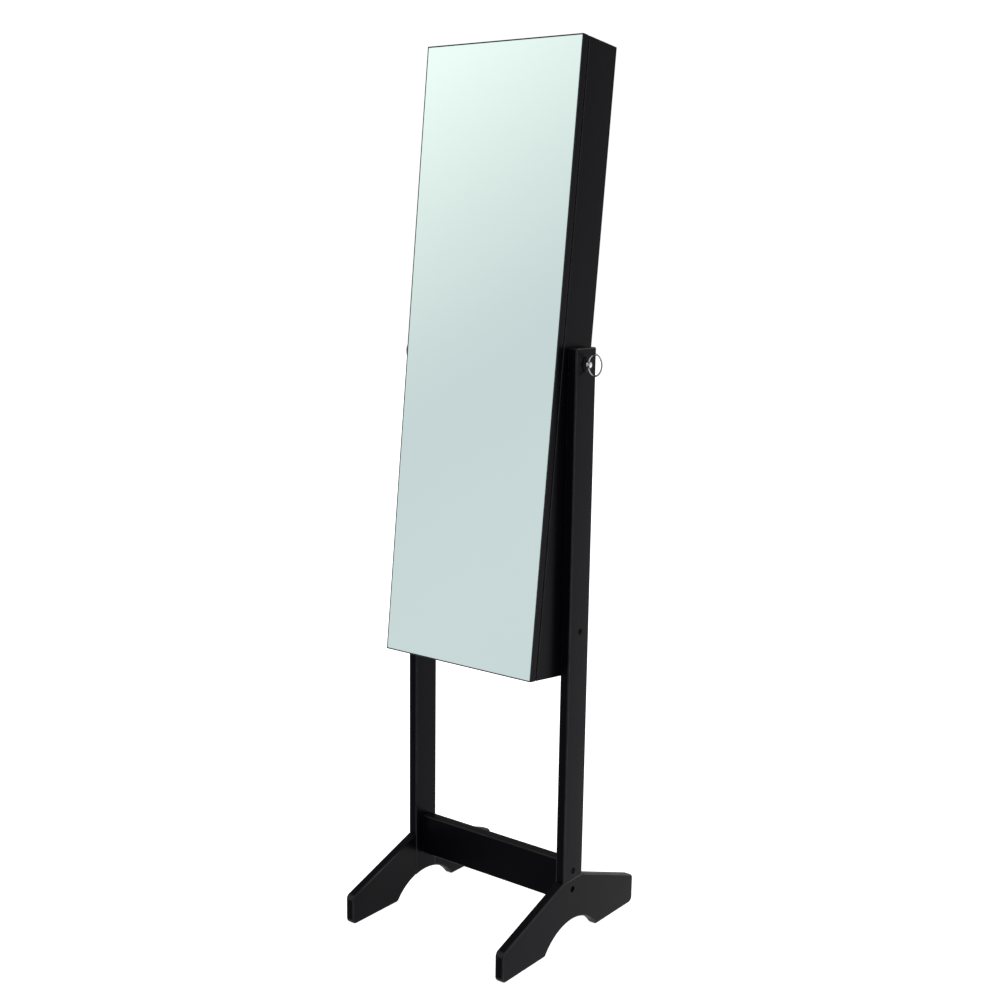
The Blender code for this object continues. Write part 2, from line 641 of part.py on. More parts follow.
def make_hinges(cabinet, door):
    mid = HINGE_AXIS.y
    for z, word in zip(HINGE_HEIGHTS, ("upper", "middle", "lower")):
        frame_low = BOX_FRONT - GAP - LEAF_THICK
        make_leaf(f"{word}_hinge_frame_leaf", z, (0, 2, 4), frame_low, frame_low + LEAF_THICK, cabinet)
        door_low = DOOR_BACK + GAP
        make_leaf(f"{word}_hinge_door_leaf", z, (1, 3), door_low, door_low + LEAF_THICK, door)
        low = z - HINGE_LENGTH / 2
        pin = rod(PIN_R, (HINGE_AXIS.x, mid, low), Z, HINGE_LENGTH, 10)
        add(f"{word}_hinge_pin", pin, "zinc_steel", cabinet)


# ---------------------------------------------------------------- door
def make_door(door):
    low = (-CAB_HALF, DOOR_FRONT, -CAB_BELOW)
    high = (CAB_HALF, DOOR_BACK, CAB_ABOVE)
    panel = add("door_panel", block(low, high), "black_lacquer", door)
    round_edges(panel, DOOR_EDGE)
    border, deep = GLASS_BORDER, GLASS_RECESS
    low = (-CAB_HALF + border, DOOR_FRONT - CUTTER, -CAB_BELOW + border)
    high = (CAB_HALF - border, DOOR_FRONT + deep, CAB_ABOVE - border)
    cut_block(panel, "door_recess", low, high)
    border += GAP
    low = (-CAB_HALF + border, DOOR_FRONT + deep - GAP - GLASS_THICK, -CAB_BELOW + border)
    high = (CAB_HALF - border, DOOR_FRONT + deep - GAP, CAB_ABOVE - border)
    glass = add("mirror_glass", block(low, high), "silvered_glass", door)
    round_edges(glass, GLASS_ARRIS, 1)
    half, back, end = INNER_HALF - DOOR_LINING["margin"], DOOR_BACK + GAP, DOOR_LINING["end"]
    low = (-half, back, INNER_BOTTOM + end)
    high = (half, back + DOOR_LINING["thick"], INNER_TOP - end)
    lining = add("door_lining", block(low, high), "black_velvet", door)
    round_edges(lining, DOOR_LINING["edge"], 1)


# ---------------------------------------------------------------- assembly
def main():
    for old in list(bpy.data.objects):
        bpy.data.objects.remove(old)
    make_stand()
    make_ring_bolt("right_ring_bolt", 1)
    make_ring_bolt("left_ring_bolt", -1)
    cabinet = frame_empty("cabinet_axis", (0, 0, PIVOT_Z), (-LEAN, 0, 0))
    make_box(cabinet)
    for name, top in SHELF_TOPS.items():
        make_shelf(name, top, cabinet)
    make_hook_rail(cabinet)
    make_ring_rolls(cabinet)
    for name, height in EARRING_BARS.items():
        make_earring_bar(name, height, cabinet)
    make_bracelet_rod(cabinet)
    make_door(cabinet)
    make_hinges(cabinet, cabinet)
    make_catches(cabinet, cabinet)


main()
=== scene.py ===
"""Looks of the cheval floor mirror: a leaning jewellery cabinet with a mirrored door, on a black stand.

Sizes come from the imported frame, in metres; +X is the viewer's right and +Y the back.
"""
import json
from math import atan2, ceil, cos, pi, radians, sin

import bmesh
import bpy
from mathutils import Matrix, Vector


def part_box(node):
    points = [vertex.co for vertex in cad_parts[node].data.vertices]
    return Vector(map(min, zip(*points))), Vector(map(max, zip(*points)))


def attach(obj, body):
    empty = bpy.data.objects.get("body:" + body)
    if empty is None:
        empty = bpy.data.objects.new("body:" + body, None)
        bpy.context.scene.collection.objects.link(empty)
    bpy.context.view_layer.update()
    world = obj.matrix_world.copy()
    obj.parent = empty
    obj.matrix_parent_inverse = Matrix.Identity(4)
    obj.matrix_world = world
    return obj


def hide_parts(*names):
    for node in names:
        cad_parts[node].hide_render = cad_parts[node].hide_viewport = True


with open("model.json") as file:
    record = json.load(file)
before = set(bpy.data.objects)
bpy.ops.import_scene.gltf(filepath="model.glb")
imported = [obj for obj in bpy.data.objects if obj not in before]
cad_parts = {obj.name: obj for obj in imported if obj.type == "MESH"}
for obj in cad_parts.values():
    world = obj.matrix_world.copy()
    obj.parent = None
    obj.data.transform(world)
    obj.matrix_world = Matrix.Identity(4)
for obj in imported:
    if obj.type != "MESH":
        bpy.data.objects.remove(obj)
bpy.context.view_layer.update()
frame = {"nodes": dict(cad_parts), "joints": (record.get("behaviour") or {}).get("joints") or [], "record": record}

NODES = frame["nodes"]
RECORD = frame["record"]
BODY_OF = {node: body for body, nodes in RECORD["behaviour"]["bodies"].items() for node in nodes}
JOINTS = {joint["name"]: joint for joint in frame["joints"]}

X, Y, Z = Vector((1, 0, 0)), Vector((0, 1, 0)), Vector((0, 0, 1))
MERGE = 1e-5                       # closes the CAD meshes' loose triangles
FLAT = radians(0.4)                # faces that differ by less than this are one face
TURNED_CREASE = 40                 # degrees; a turned piece is sharp where it turns by more

# The cabinet's own upright axes, leaned back about its pivot.
PIVOT = Vector(JOINTS["cabinet_tilt"]["pos_m"])
HINGE_LINE = -Vector(JOINTS["door_swing"]["axis"])
LEAN = atan2(HINGE_LINE.y, HINGE_LINE.z)
CABINET = Matrix.Translation(PIVOT) @ Matrix.Rotation(-LEAN, 4, "X")

# ---------------------------------------------------------------- camera
EYE = (1.4074, -1.8166, 1.1408)
YAW, PITCH, ROLL = radians(36.22), radians(-12.30), radians(1.10)
LENS, SENSOR = 50.71, 36.0
SHIFT = (-0.0340, 0.0580)


def make_camera():
    """A camera at standing height, looking down and to the left at the mirror."""
    forward = Vector((-sin(YAW) * cos(PITCH), cos(YAW) * cos(PITCH), sin(PITCH)))
    level = Vector((cos(YAW), sin(YAW), 0))
    upright = level.cross(forward)
    right = level * cos(ROLL) + upright * sin(ROLL)
    up = upright * cos(ROLL) - level * sin(ROLL)
    camera = bpy.data.objects.new("camera", bpy.data.cameras.new("camera"))
    bpy.context.scene.collection.objects.link(camera)
    turn = Matrix((right, up, -forward)).transposed().to_4x4()
    camera.matrix_world = Matrix.Translation(EYE) @ turn
    camera.data.lens = LENS
    camera.data.sensor_width = SENSOR
    camera.data.shift_x, camera.data.shift_y = SHIFT
    camera.data.clip_end = 60.0
    bpy.context.scene.camera = camera


# ---------------------------------------------------------------- studio
FLOOR_RADIUS = 14.0
FLOOR_DROP = 0.0002                # keeps the floor clear of the feet's pads
FLOOR_PAINT = (0.94, 0.94, 0.935)
FLOOR_GLOW = 0.85
BACKDROP_STRENGTH = 1.02
OVERHEAD = {"place": (0.3, -0.3, 3.6), "target": (0, 0, 0.2), "size": (3.4, 3.4), "power": 30}
GRADE_AXIS = (-0.73, 0.53, 1.0)
GRADE_END = 1.4
ROOM_STRENGTH = 2.0
WINDOW_SIDE = (0.50, 0.70, -0.51)  # the brighter side of the room, behind and low to the right
WINDOW_FROM, WINDOW_FULL = 0.75, 1.0
WINDOW_GAIN = 3.4
ROOM_GRADE = [(-1.40, (0.42, 0.42, 0.42)), (-0.55, (0.48, 0.48, 0.48)), (-0.42, (0.52, 0.52, 0.52)),
              (-0.27, (0.69, 0.69, 0.70)), (-0.17, (0.730, 0.735, 0.745)), (-0.02, (0.735, 0.74, 0.745)),
              (0.10, (0.700, 0.705, 0.715)), (0.16, (0.735, 0.74, 0.745)), (0.22, (0.815, 0.817, 0.80)),
              (0.29, (0.92, 0.92, 0.885)), (0.36, (1.05, 1.04, 1.0)), (0.48, (1.18, 1.17, 1.13)),
              (0.80, (0.60, 0.60, 0.60)), (1.10, (0.35, 0.35, 0.35)), (1.40, (0.25, 0.25, 0.25))]


def make_floor():
    """A pale floor that lights things from below but stays out of reflections."""
    bm = bmesh.new()
    bmesh.ops.create_circle(bm, cap_ends=True, segments=96, radius=FLOOR_RADIUS)
    mesh = bpy.data.meshes.new("studio_floor")
    bm.to_mesh(mesh)
    bm.free()
    floor = bpy.data.objects.new("studio_floor", mesh)
    bpy.context.scene.collection.objects.link(floor)
    floor.location.z = -FLOOR_DROP
    floor.visible_glossy = False
    paint = bpy.data.materials.new("pale_floor_paint")
    paint.use_nodes = True
    shader = paint.node_tree.nodes["Principled BSDF"]
    shader.inputs["Base Color"].default_value = (*FLOOR_PAINT, 1)
    shader.inputs["Roughness"].default_value = 0.9
    shader.inputs["Specular IOR Level"].default_value = 0.0
    shader.inputs["Emission Color"].default_value = (1, 1, 1, 1)
    shader.inputs["Emission Strength"].default_value = FLOOR_GLOW
    mesh.materials.append(paint)


def make_surroundings():
    """White studio for the camera; for light and reflections a softly graded room.

    The grade runs along GRADE_AXIS: a dim floor, a plain wall, then brighter towards the upper left,
    and dim again overhead. WINDOW_SIDE is lighter, as from a low window.
    """
    world = bpy.data.worlds.new("studio")
    bpy.context.scene.world = world
    world.use_nodes = True
    tree = world.node_tree
    tree.nodes.clear()
    link = tree.links.new
    aim = tree.nodes.new("ShaderNodeTexCoord")

    def along(axis, **limits):
        """How far a direction reaches along an axis, mapped between limits."""
        reach = tree.nodes.new("ShaderNodeVectorMath")
        reach.operation = "DOT_PRODUCT"
        link(aim.outputs["Generated"], reach.inputs[0])
        reach.inputs[1].default_value = axis
        spread = tree.nodes.new("ShaderNodeMapRange")
        for label, value in limits.items():
            spread.inputs[label.replace("_", " ")].default_value = value
        link(reach.outputs["Value"], spread.inputs["Value"])
        return spread.outputs[0]
    ramp = tree.nodes.new("ShaderNodeValToRGB")
    ramp.color_ramp.interpolation = "B_SPLINE"
    link(along(GRADE_AXIS, From_Min=-GRADE_END, From_Max=GRADE_END), ramp.inputs[0])
    stops = ramp.color_ramp.elements
    while len(stops) < len(ROOM_GRADE):
        stops.new(0.5)
    for stop, (reach, colour) in zip(stops, ROOM_GRADE):
        stop.position = (reach + GRADE_END) / (2 * GRADE_END)
        stop.color = (*[c / ROOM_STRENGTH for c in colour], 1)
    glow = along(WINDOW_SIDE, From_Min=WINDOW_FROM, From_Max=WINDOW_FULL,
                 To_Min=ROOM_STRENGTH, To_Max=ROOM_STRENGTH * WINDOW_GAIN)
    room = tree.nodes.new("ShaderNodeBackground")
    link(glow, room.inputs["Strength"])
    link(ramp.outputs[0], room.inputs["Color"])
    white = tree.nodes.new("ShaderNodeBackground")
    white.inputs["Strength"].default_value = BACKDROP_STRENGTH
    white.inputs["Color"].default_value = (1, 1, 1, 1)
    path = tree.nodes.new("ShaderNodeLightPath")
    choose = tree.nodes.new("ShaderNodeMixShader")
    link(path.outputs["Is Camera Ray"], choose.inputs[0])
    link(room.outputs[0], choose.inputs[1])
    link(white.outputs[0], choose.inputs[2])
    out = tree.nodes.new("ShaderNodeOutputWorld")
    link(choose.outputs[0], out.inputs["Surface"])


def soft_light(name, place, target, size, power):
    """A rectangular area light aimed at a target."""
    lamp = bpy.data.lights.new(name, "AREA")
    lamp.shape = "RECTANGLE"
    lamp.size, lamp.size_y = size
    lamp.energy = power
    light = bpy.data.objects.new(name, lamp)
    bpy.context.scene.collection.objects.link(light)
    light.location = place
    light.rotation_euler = (Vector(target) - Vector(place)).to_track_quat("-Z", "Y").to_euler()
    return light


def make_studio():
    """The floor, the room and one soft light overhead."""
    make_floor()
    make_surroundings()
    bpy.context.scene.view_settings.view_transform = "Standard"
    overhead = soft_light("overhead_softbox", **OVERHEAD)
    overhead.visible_glossy = False


# ---------------------------------------------------------------- shader groups
def shader_group(name, inputs, outputs):
    """An empty node group with named inputs (name, kind, value) and outputs (name, kind)."""
    tree = bpy.data.node_groups.new(name, "ShaderNodeTree")
    for label, kind, value in inputs:
        socket = tree.interface.new_socket(label, in_out="INPUT", socket_type=kind)
        socket.default_value = value
    for label, kind in outputs:
        tree.interface.new_socket(label, in_out="OUTPUT", socket_type=kind)
    return tree, tree.nodes.new("NodeGroupInput"), tree.nodes.new("NodeGroupOutput")


def math_node(tree, operation, *values):
    """A math node whose inputs are sockets or plain numbers."""
    node = tree.nodes.new("ShaderNodeMath")
    node.operation = operation
    for socket, value in zip(node.inputs, values):
        if isinstance(value, (int, float)):
            socket.default_value = value
        else:
            tree.links.new(value, socket)
    return node.outputs[0]


def object_noise(tree, scale, detail=2.0, roughness=0.5, stretch=None):
    """Noise fixed to the piece, in metres."""
    spot = tree.nodes.new("ShaderNodeTexCoord").outputs["Object"]
    if stretch:
        mapping = tree.nodes.new("ShaderNodeMapping")
        mapping.inputs["Scale"].default_value = stretch
        tree.links.new(spot, mapping.inputs["Vector"])
        spot = mapping.outputs[0]
    noise = tree.nodes.new("ShaderNodeTexNoise")
    tree.links.new(spot, noise.inputs["Vector"])
    if isinstance(scale, (int, float)):
        noise.inputs["Scale"].default_value = scale
    else:
        tree.links.new(scale, noise.inputs["Scale"])
    noise.inputs["Detail"].default_value = detail
    noise.inputs["Roughness"].default_value = roughness
    return noise.outputs["Fac"]


DRIFT_CONTRAST = 2.2
EDGE_PATCHES = {"per_metre": 55.0, "gain": 0.8, "least": 0.3}
DUST_SLOPE = 1.6                   # how quickly dust thins as a face turns from level
DUST_SPECKS = {"per_metre": 140.0, "gain": 1.4, "offset": -0.25}


def build_grain():
    """Fine relief and slow drift over a surface: Height for a bump, Drift from 0 to 1."""
    sizes = [("Grain per metre", "NodeSocketFloat", 400.0), ("Drift per metre", "NodeSocketFloat", 9.0)]
    tree, given, out = shader_group("surface_grain", sizes,
                                    [("Height", "NodeSocketFloat"), ("Drift", "NodeSocketFloat")])
    fine = object_noise(tree, given.outputs[0], 2.5, 0.55)
    tree.links.new(fine, out.inputs["Height"])
    slow = object_noise(tree, given.outputs[1], 3.0, 0.6)
    spread = math_node(tree, "MULTIPLY_ADD", slow, DRIFT_CONTRAST, 0.5 - DRIFT_CONTRAST / 2)
    capped = math_node(tree, "MINIMUM", math_node(tree, "MAXIMUM", spread, 0.0), 1.0)
    tree.links.new(capped, out.inputs["Drift"])
    return tree


def build_edge_wear_and_highlight():
    """Where the finish is thinner: the rounded edges, broken up a little. The lacquer also paints a lighter
    highlight on them.
    """
    tree, given, out = shader_group("edge_wear", [("Amount", "NodeSocketFloat", 0.5)],
                                    [("Mask", "NodeSocketFloat")])
    mark = tree.nodes.new("ShaderNodeAttribute")
    mark.attribute_name = "edge"
    blotches = object_noise(tree, EDGE_PATCHES["per_metre"], 3.0)
    patches = math_node(tree, "MULTIPLY_ADD", blotches, EDGE_PATCHES["gain"], EDGE_PATCHES["least"])
    worn_and_highlit = math_node(tree, "MULTIPLY", mark.outputs["Fac"], patches)
    tree.links.new(math_node(tree, "MULTIPLY", worn_and_highlit, given.outputs[0]), out.inputs["Mask"])
    return tree


def build_dust():
    """A thin veil of dust on faces that look up."""
    tree, given, out = shader_group("settled_dust", [("Amount", "NodeSocketFloat", 0.3)],
                                    [("Mask", "NodeSocketFloat")])
    facing = tree.nodes.new("ShaderNodeNewGeometry")
    split = tree.nodes.new("ShaderNodeSeparateXYZ")
    tree.links.new(facing.outputs["Normal"], split.inputs[0])
    level = math_node(tree, "MULTIPLY_ADD", split.outputs["Z"], DUST_SLOPE, 1.0 - DUST_SLOPE)
    upward = math_node(tree, "MAXIMUM", level, 0.0)
    grit = object_noise(tree, DUST_SPECKS["per_metre"], 5.0, 0.7)
    specks = math_node(tree, "MULTIPLY_ADD", grit, DUST_SPECKS["gain"], DUST_SPECKS["offset"])
    veil = math_node(tree, "MULTIPLY", upward, math_node(tree, "MAXIMUM", specks, 0.0))
    tree.links.new(math_node(tree, "MULTIPLY", veil, given.outputs[0]), out.inputs["Mask"])
    return tree


GRAIN = build_grain()
EDGE_WEAR_AND_HIGHLIGHT = build_edge_wear_and_highlight()
DUST = build_dust()


# ---------------------------------------------------------------- materials
def new_material(name, colour, roughness, metallic=0.0, specular=0.5):
    """A material with its Principled shader set: (material, node tree, shader)."""
    material = bpy.data.materials.new(name)
    material.use_nodes = True
    shader = material.node_tree.nodes["Principled BSDF"]
    shader.inputs["Base Color"].default_value = (*colour, 1)
    shader.inputs["Roughness"].default_value = roughness
    shader.inputs["Metallic"].default_value = metallic
    shader.inputs["Specular IOR Level"].default_value = specular
    material.diffuse_color = (*colour, 1)
    return material, material.node_tree, shader


def use_group(tree, group, **values):
    """Place a shader group; an underscore in a value's name stands for a space."""
    node = tree.nodes.new("ShaderNodeGroup")
    node.node_tree = group
    for label, value in values.items():
        node.inputs[label.replace("_", " ")].default_value = value
    return node


def blend_colours(tree, mask, below, above):
    """One colour over another by a mask; either may be a colour or a socket."""
    mix = tree.nodes.new("ShaderNodeMix")
    mix.data_type = "RGBA"
    tree.links.new(mask, mix.inputs["Factor"])
    for label, value in (("A", below), ("B", above)):
        socket = [s for s in mix.inputs if s.name == label and s.type == "RGBA"][0]
        if isinstance(value, tuple):
            socket.default_value = (*value, 1)
        else:
            tree.links.new(value, socket)
    return [s for s in mix.outputs if s.type == "RGBA"][0]


def add_bump(tree, shader, height, distance, strength=1.0):
    """Turn a height into surface relief, its depth in metres."""
    bump = tree.nodes.new("ShaderNodeBump")
    bump.inputs["Distance"].default_value = distance
    bump.inputs["Strength"].default_value = strength
    tree.links.new(height, bump.inputs["Height"])
    tree.links.new(bump.outputs[0], shader.inputs["Normal"])


LACQUER_GLOSS = 0.032
LACQUER_GRAIN = {"Grain_per_metre": 330.0, "Drift_per_metre": 7.0}
LACQUER_DRIFT = 0.08               # how far the roughness wanders
LACQUER_CLOUDS = 1.35              # how much lighter its lighter patches are
EDGE_POLISH, DUST_DULLING = -0.12, 0.3
# rounded edges get thinner, polished lacquer and a paler colour that is partly a painted highlight
EDGE_WEAR_AND_HIGHLIGHT_AMOUNT = 0.55
EDGE_SHINE, EDGE_SHINE_ROUGHNESS = 0.9, 0.22
DUST_COLOUR = (0.16, 0.155, 0.15)
METAL_GRAIN = {"Grain_per_metre": 900.0, "Drift_per_metre": 60.0}
METAL_CLOUDS = 0.82
BRUSHED_SPREAD, SMOOTH_SPREAD = 0.14, 0.05
PLASTIC_GRAIN = {"Grain_per_metre": 1500.0, "Drift_per_metre": 25.0}
PLASTIC_WEAR, PLASTIC_CLOUDS = 0.4, 0.85
PILE = {"Grain_per_metre": 1700.0, "Drift_per_metre": 28.0}
PILE_BRUSHED = 2.4                 # how much lighter the pile is where it is brushed up
PILE_DEPTH, PILE_RELIEF = 0.0006, 0.9
SHEEN = {"Sheen Weight": 0.20, "Sheen Roughness": 0.45, "Sheen Tint": (0.75, 0.72, 0.80, 1)}
GROUND_GRAIN = {"Grain_per_metre": 2200.0, "Drift_per_metre": 70.0}


def lacquer(name, deep, pale, roughness, peel, dust):
    """Sprayed satin lacquer: fine orange peel, thinner on rounded edges and paler there, partly as a painted
    highlight, a trace of dust on top.
    """
    material, tree, shader = new_material(name, deep, roughness, specular=LACQUER_GLOSS)
    grain = use_group(tree, GRAIN, **LACQUER_GRAIN)
    wear_and_highlight = use_group(tree, EDGE_WEAR_AND_HIGHLIGHT, Amount=EDGE_WEAR_AND_HIGHLIGHT_AMOUNT)
    veil = use_group(tree, DUST, Amount=dust)
    toned = blend_colours(tree, grain.outputs["Drift"], deep, tuple(c * LACQUER_CLOUDS for c in deep))
    # the paler colour on the rounded edges is worn lacquer and a painted highlight
    edged = blend_colours(tree, wear_and_highlight.outputs[0], toned, pale)
    dusty = blend_colours(tree, veil.outputs[0], edged, DUST_COLOUR)
    tree.links.new(dusty, shader.inputs["Base Color"])
    drift = math_node(tree, "MULTIPLY_ADD", grain.outputs["Drift"], LACQUER_DRIFT,
                      roughness - LACQUER_DRIFT / 2)
    polished = math_node(tree, "MULTIPLY_ADD", wear_and_highlight.outputs[0], EDGE_POLISH, drift)
    dull = math_node(tree, "MULTIPLY_ADD", veil.outputs[0], DUST_DULLING, polished)
    tree.links.new(dull, shader.inputs["Roughness"])
    add_bump(tree, shader, grain.outputs["Height"], peel)
    tree.links.new(math_node(tree, "MULTIPLY", wear_and_highlight.outputs[0], EDGE_SHINE), shader.inputs["Coat Weight"])
    shader.inputs["Coat Roughness"].default_value = EDGE_SHINE_ROUGHNESS
    return material


def plated(name, colour, roughness, scratch=0.00001, brushed=False):
    """Plated or turned metal with fine marks."""
    material, tree, shader = new_material(name, colour, roughness, metallic=1.0)
    grain = use_group(tree, GRAIN, **METAL_GRAIN)
    darker = tuple(c * METAL_CLOUDS for c in colour)
    tree.links.new(blend_colours(tree, grain.outputs["Drift"], colour, darker), shader.inputs["Base Color"])
    spread = BRUSHED_SPREAD if brushed else SMOOTH_SPREAD
    rough = math_node(tree, "MULTIPLY_ADD", grain.outputs["Drift"], spread, roughness - spread / 2)
    tree.links.new(rough, shader.inputs["Roughness"])
    add_bump(tree, shader, grain.outputs["Height"], scratch)
    return material


def moulded(name, colour, roughness, relief, specular=0.4):
    """Injection-moulded plastic with a faint spark-eroded texture."""
    material, tree, shader = new_material(name, colour, roughness, specular=specular)
    grain = use_group(tree, GRAIN, **PLASTIC_GRAIN)
    wear_and_highlight = use_group(tree, EDGE_WEAR_AND_HIGHLIGHT, Amount=PLASTIC_WEAR)
    lighter = tuple(min(1.0, c * 1.5 + 0.01) for c in colour)
    toned = blend_colours(tree, grain.outputs["Drift"], colour, tuple(c * PLASTIC_CLOUDS for c in colour))
    tree.links.new(blend_colours(tree, wear_and_highlight.outputs[0], toned, lighter), shader.inputs["Base Color"])
    add_bump(tree, shader, grain.outputs["Height"], relief)
    return material


def velvet(name, colour):
    """Short pile: a soft sheen, brushed this way and that in slow patches."""
    material, tree, shader = new_material(name, colour, 0.95, specular=0.1)
    for label, value in SHEEN.items():
        shader.inputs[label].default_value = value
    grain = use_group(tree, GRAIN, **PILE)
    brushed = tuple(c * PILE_BRUSHED for c in colour)
    toned = blend_colours(tree, grain.outputs["Drift"], colour, brushed)
    tree.links.new(toned, shader.inputs["Base Color"])
    add_bump(tree, shader, grain.outputs["Height"], PILE_DEPTH, PILE_RELIEF)
    return material


def pressed_board(name):
    """Painted hardboard: a smooth film over short fibres."""
    material, tree, shader = new_material(name, (0.010, 0.010, 0.011), 0.62, specular=0.25)
    fibres = object_noise(tree, 260.0, detail=5.0, roughness=0.65, stretch=(1.0, 1.0, 0.35))
    dark, light = (0.008, 0.008, 0.009), (0.021, 0.020, 0.020)
    tree.links.new(blend_colours(tree, fibres, dark, light), shader.inputs["Base Color"])
    add_bump(tree, shader, fibres, distance=0.0002, strength=0.7)
    return material


def silvering(name):
    """The silvered face: a clean reflection with a faint green tint and the slightest waviness."""
    clean, hazed = (0.80, 0.945, 0.93), (0.785, 0.93, 0.92)
    material, tree, shader = new_material(name, clean, 0.02, metallic=1.0)
    smears = object_noise(tree, 5.0, detail=3.0, roughness=0.6, stretch=(1.0, 1.0, 0.4))
    rough = math_node(tree, "MULTIPLY_ADD", smears, 0.03, 0.006)
    tree.links.new(rough, shader.inputs["Roughness"])
    tree.links.new(blend_colours(tree, smears, clean, hazed), shader.inputs["Base Color"])
    add_bump(tree, shader, object_noise(tree, 2.2, detail=1.0), distance=0.0008, strength=0.4)
    return material


def cut_glass(name):
    """The ground edge of the mirror, where the glass shows its green; its pale tone is also a painted highlight
    along the mirror's edge.
    """
    material, tree, shader = new_material(name, (0.30, 0.42, 0.38), 0.28, specular=0.5)
    grain = use_group(tree, GRAIN, **GROUND_GRAIN)
    # the pale green is the ground glass and a painted highlight along the edge
    green, pale = (0.24, 0.36, 0.32), (0.42, 0.52, 0.49)
    tree.links.new(blend_colours(tree, grain.outputs["Drift"], green, pale), shader.inputs["Base Color"])
    add_bump(tree, shader, grain.outputs["Height"], distance=0.00003)
    return material


FINISH = {
    # the second colour is the paler rounded-edge colour: worn lacquer and a painted highlight
    "black_lacquer": lacquer("satin_black_lacquer", (0.0014, 0.0014, 0.0024), (0.016, 0.016, 0.017),
                             roughness=0.34, peel=0.00003, dust=0.05),
    "inside_lacquer": lacquer("thin_inside_lacquer", (0.0045, 0.0045, 0.0050), (0.020, 0.020, 0.021),
                              roughness=0.46, peel=0.00005, dust=0.03),
    "chrome": plated("bright_nickel", (0.52, 0.52, 0.53), roughness=0.12),
    "zinc_steel": plated("dull_zinc", (0.42, 0.42, 0.43), 0.30, 0.00002, brushed=True),
    "blackened": plated("blackened_steel", (0.016, 0.016, 0.017), 0.36, 0.00002, brushed=True),
    "brass": plated("turned_brass", (0.78, 0.60, 0.28), 0.26, 0.00002, brushed=True),
    "black_velvet": velvet("black_velvet", (0.010, 0.009, 0.011)),
    "hardboard": pressed_board("painted_hardboard"),
    "nylon": moulded("black_nylon", (0.004, 0.004, 0.0045), 0.5, 0.00002, specular=0.08),
    "black_plastic": moulded("moulded_black_plastic", (0.016, 0.016, 0.017), 0.40, 0.00002),
    "silvered_glass": silvering("silvered_face"),
    "glass_edge": cut_glass("ground_glass_edge"),
}


# ---------------------------------------------------------------- piece helpers
def bare_object(name, mesh):
    """An object for a mesh, linked to the scene."""
    piece = bpy.data.objects.new(name, mesh)
    bpy.context.scene.collection.objects.link(piece)
    return piece


def smooth_object(name, bm, crease):
    """A smooth-shaded object from a bmesh, sharp where faces turn by more than the crease."""
    mesh = bpy.data.meshes.new(name)
    bm.to_mesh(mesh)
    bm.free()
    mesh.shade_smooth()
    mesh.set_sharp_from_angle(angle=radians(crease))
    return bare_object(name, mesh)


def as_mesh(name, bm, place=None, crease=50):
    """A smooth-shaded object from a bmesh, put in its place and turned the right way out."""
    if place:
        bmesh.ops.transform(bm, matrix=place, verts=bm.verts)
    bmesh.ops.recalc_face_normals(bm, faces=bm.faces)
    return smooth_object(name, bm, crease)


def block(size):
    """A box about the origin."""
    bm = bmesh.new()
    bmesh.ops.create_cube(bm, size=1.0)
    bmesh.ops.scale(bm, vec=size, verts=bm.verts)
    return bm


def settle(piece):
    """Apply a piece's modifiers and leave a plain mesh."""
    view = bpy.context.evaluated_depsgraph_get()
    mesh = bpy.data.meshes.new_from_object(piece.evaluated_get(view))
    mesh.name = piece.name
    piece.modifiers.clear()
    piece.data = mesh
    return piece


def finish_piece(piece, finish, body, replaced=()):
    """Dress a piece, hang it on its body and hide the CAD nodes it stands for."""
    if finish:
        piece.data.materials.clear()
        piece.data.materials.append(FINISH[finish])
    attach(piece, body)
    if replaced:
        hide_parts(*replaced)
    return piece


def mark_rounded_edges(mesh, width=0.0024, level=0.01):
    """Store 1 on the narrow faces that round a board's edges, and 0 on the rest."""
    bm = bmesh.new()
    bm.from_mesh(mesh)
    mark = bm.faces.layers.float.new("edge")
    narrow = {face for face in bm.faces if 2 * face.calc_area() / face.calc_perimeter() < width}
    for face in narrow:
        smooth = [edge for edge in face.edges if edge.calc_face_angle(1.0) < level]
        beside = [other for edge in smooth for other in edge.link_faces]
        face[mark] = 1.0 if narrow.issuperset(beside) else 0.0
    bm.to_mesh(mesh)
    bm.free()


def dressed(node, finish, crease=50):
    """A clean, smooth-shaded copy of a CAD node in its finish."""
    bm = bmesh.new()
    bm.from_mesh(NODES[node].data)
    bmesh.ops.remove_doubles(bm, verts=bm.verts, dist=MERGE)
    bmesh.ops.dissolve_limit(bm, angle_limit=FLAT, verts=bm.verts, edges=bm.edges)
    piece = smooth_object(f"{node}_finished", bm, crease)
    weighting = piece.modifiers.new("flat faces stay flat", "WEIGHTED_NORMAL")
    weighting.keep_sharp = True
    settle(piece)
    mark_rounded_edges(piece.data)
    return finish_piece(piece, finish, BODY_OF[node], [node])


def own_box(node):
    """A cabinet node's corners in the cabinet's own upright axes."""
    back = CABINET.inverted()
    spots = [back @ v.co for v in NODES[node].data.vertices]
    low = Vector([min(s[i] for s in spots) for i in range(3)])
    high = Vector([max(s[i] for s in spots) for i in range(3)])
    return low, high


def turned(profile, sides, hollow=False):
    """A turned solid about +Z: profile is (height, radius) from one end to the other."""
    bm = bmesh.new()
    rings = []
    for height, radius in profile:
        angles = [2 * pi * i / sides for i in range(sides)]
        rings.append([bm.verts.new((radius * cos(a), radius * sin(a), height)) for a in angles])
    followers = rings[1:] + rings[:1] if hollow else rings[1:]
    for lower, upper in zip(rings, followers):
        for i in range(sides):
            j = (i + 1) % sides
            bm.faces.new((lower[i], lower[j], upper[j], upper[i]))
    if not hollow:
        bm.faces.new(list(reversed(rings[0])))
        bm.faces.new(rings[-1])
    return bm


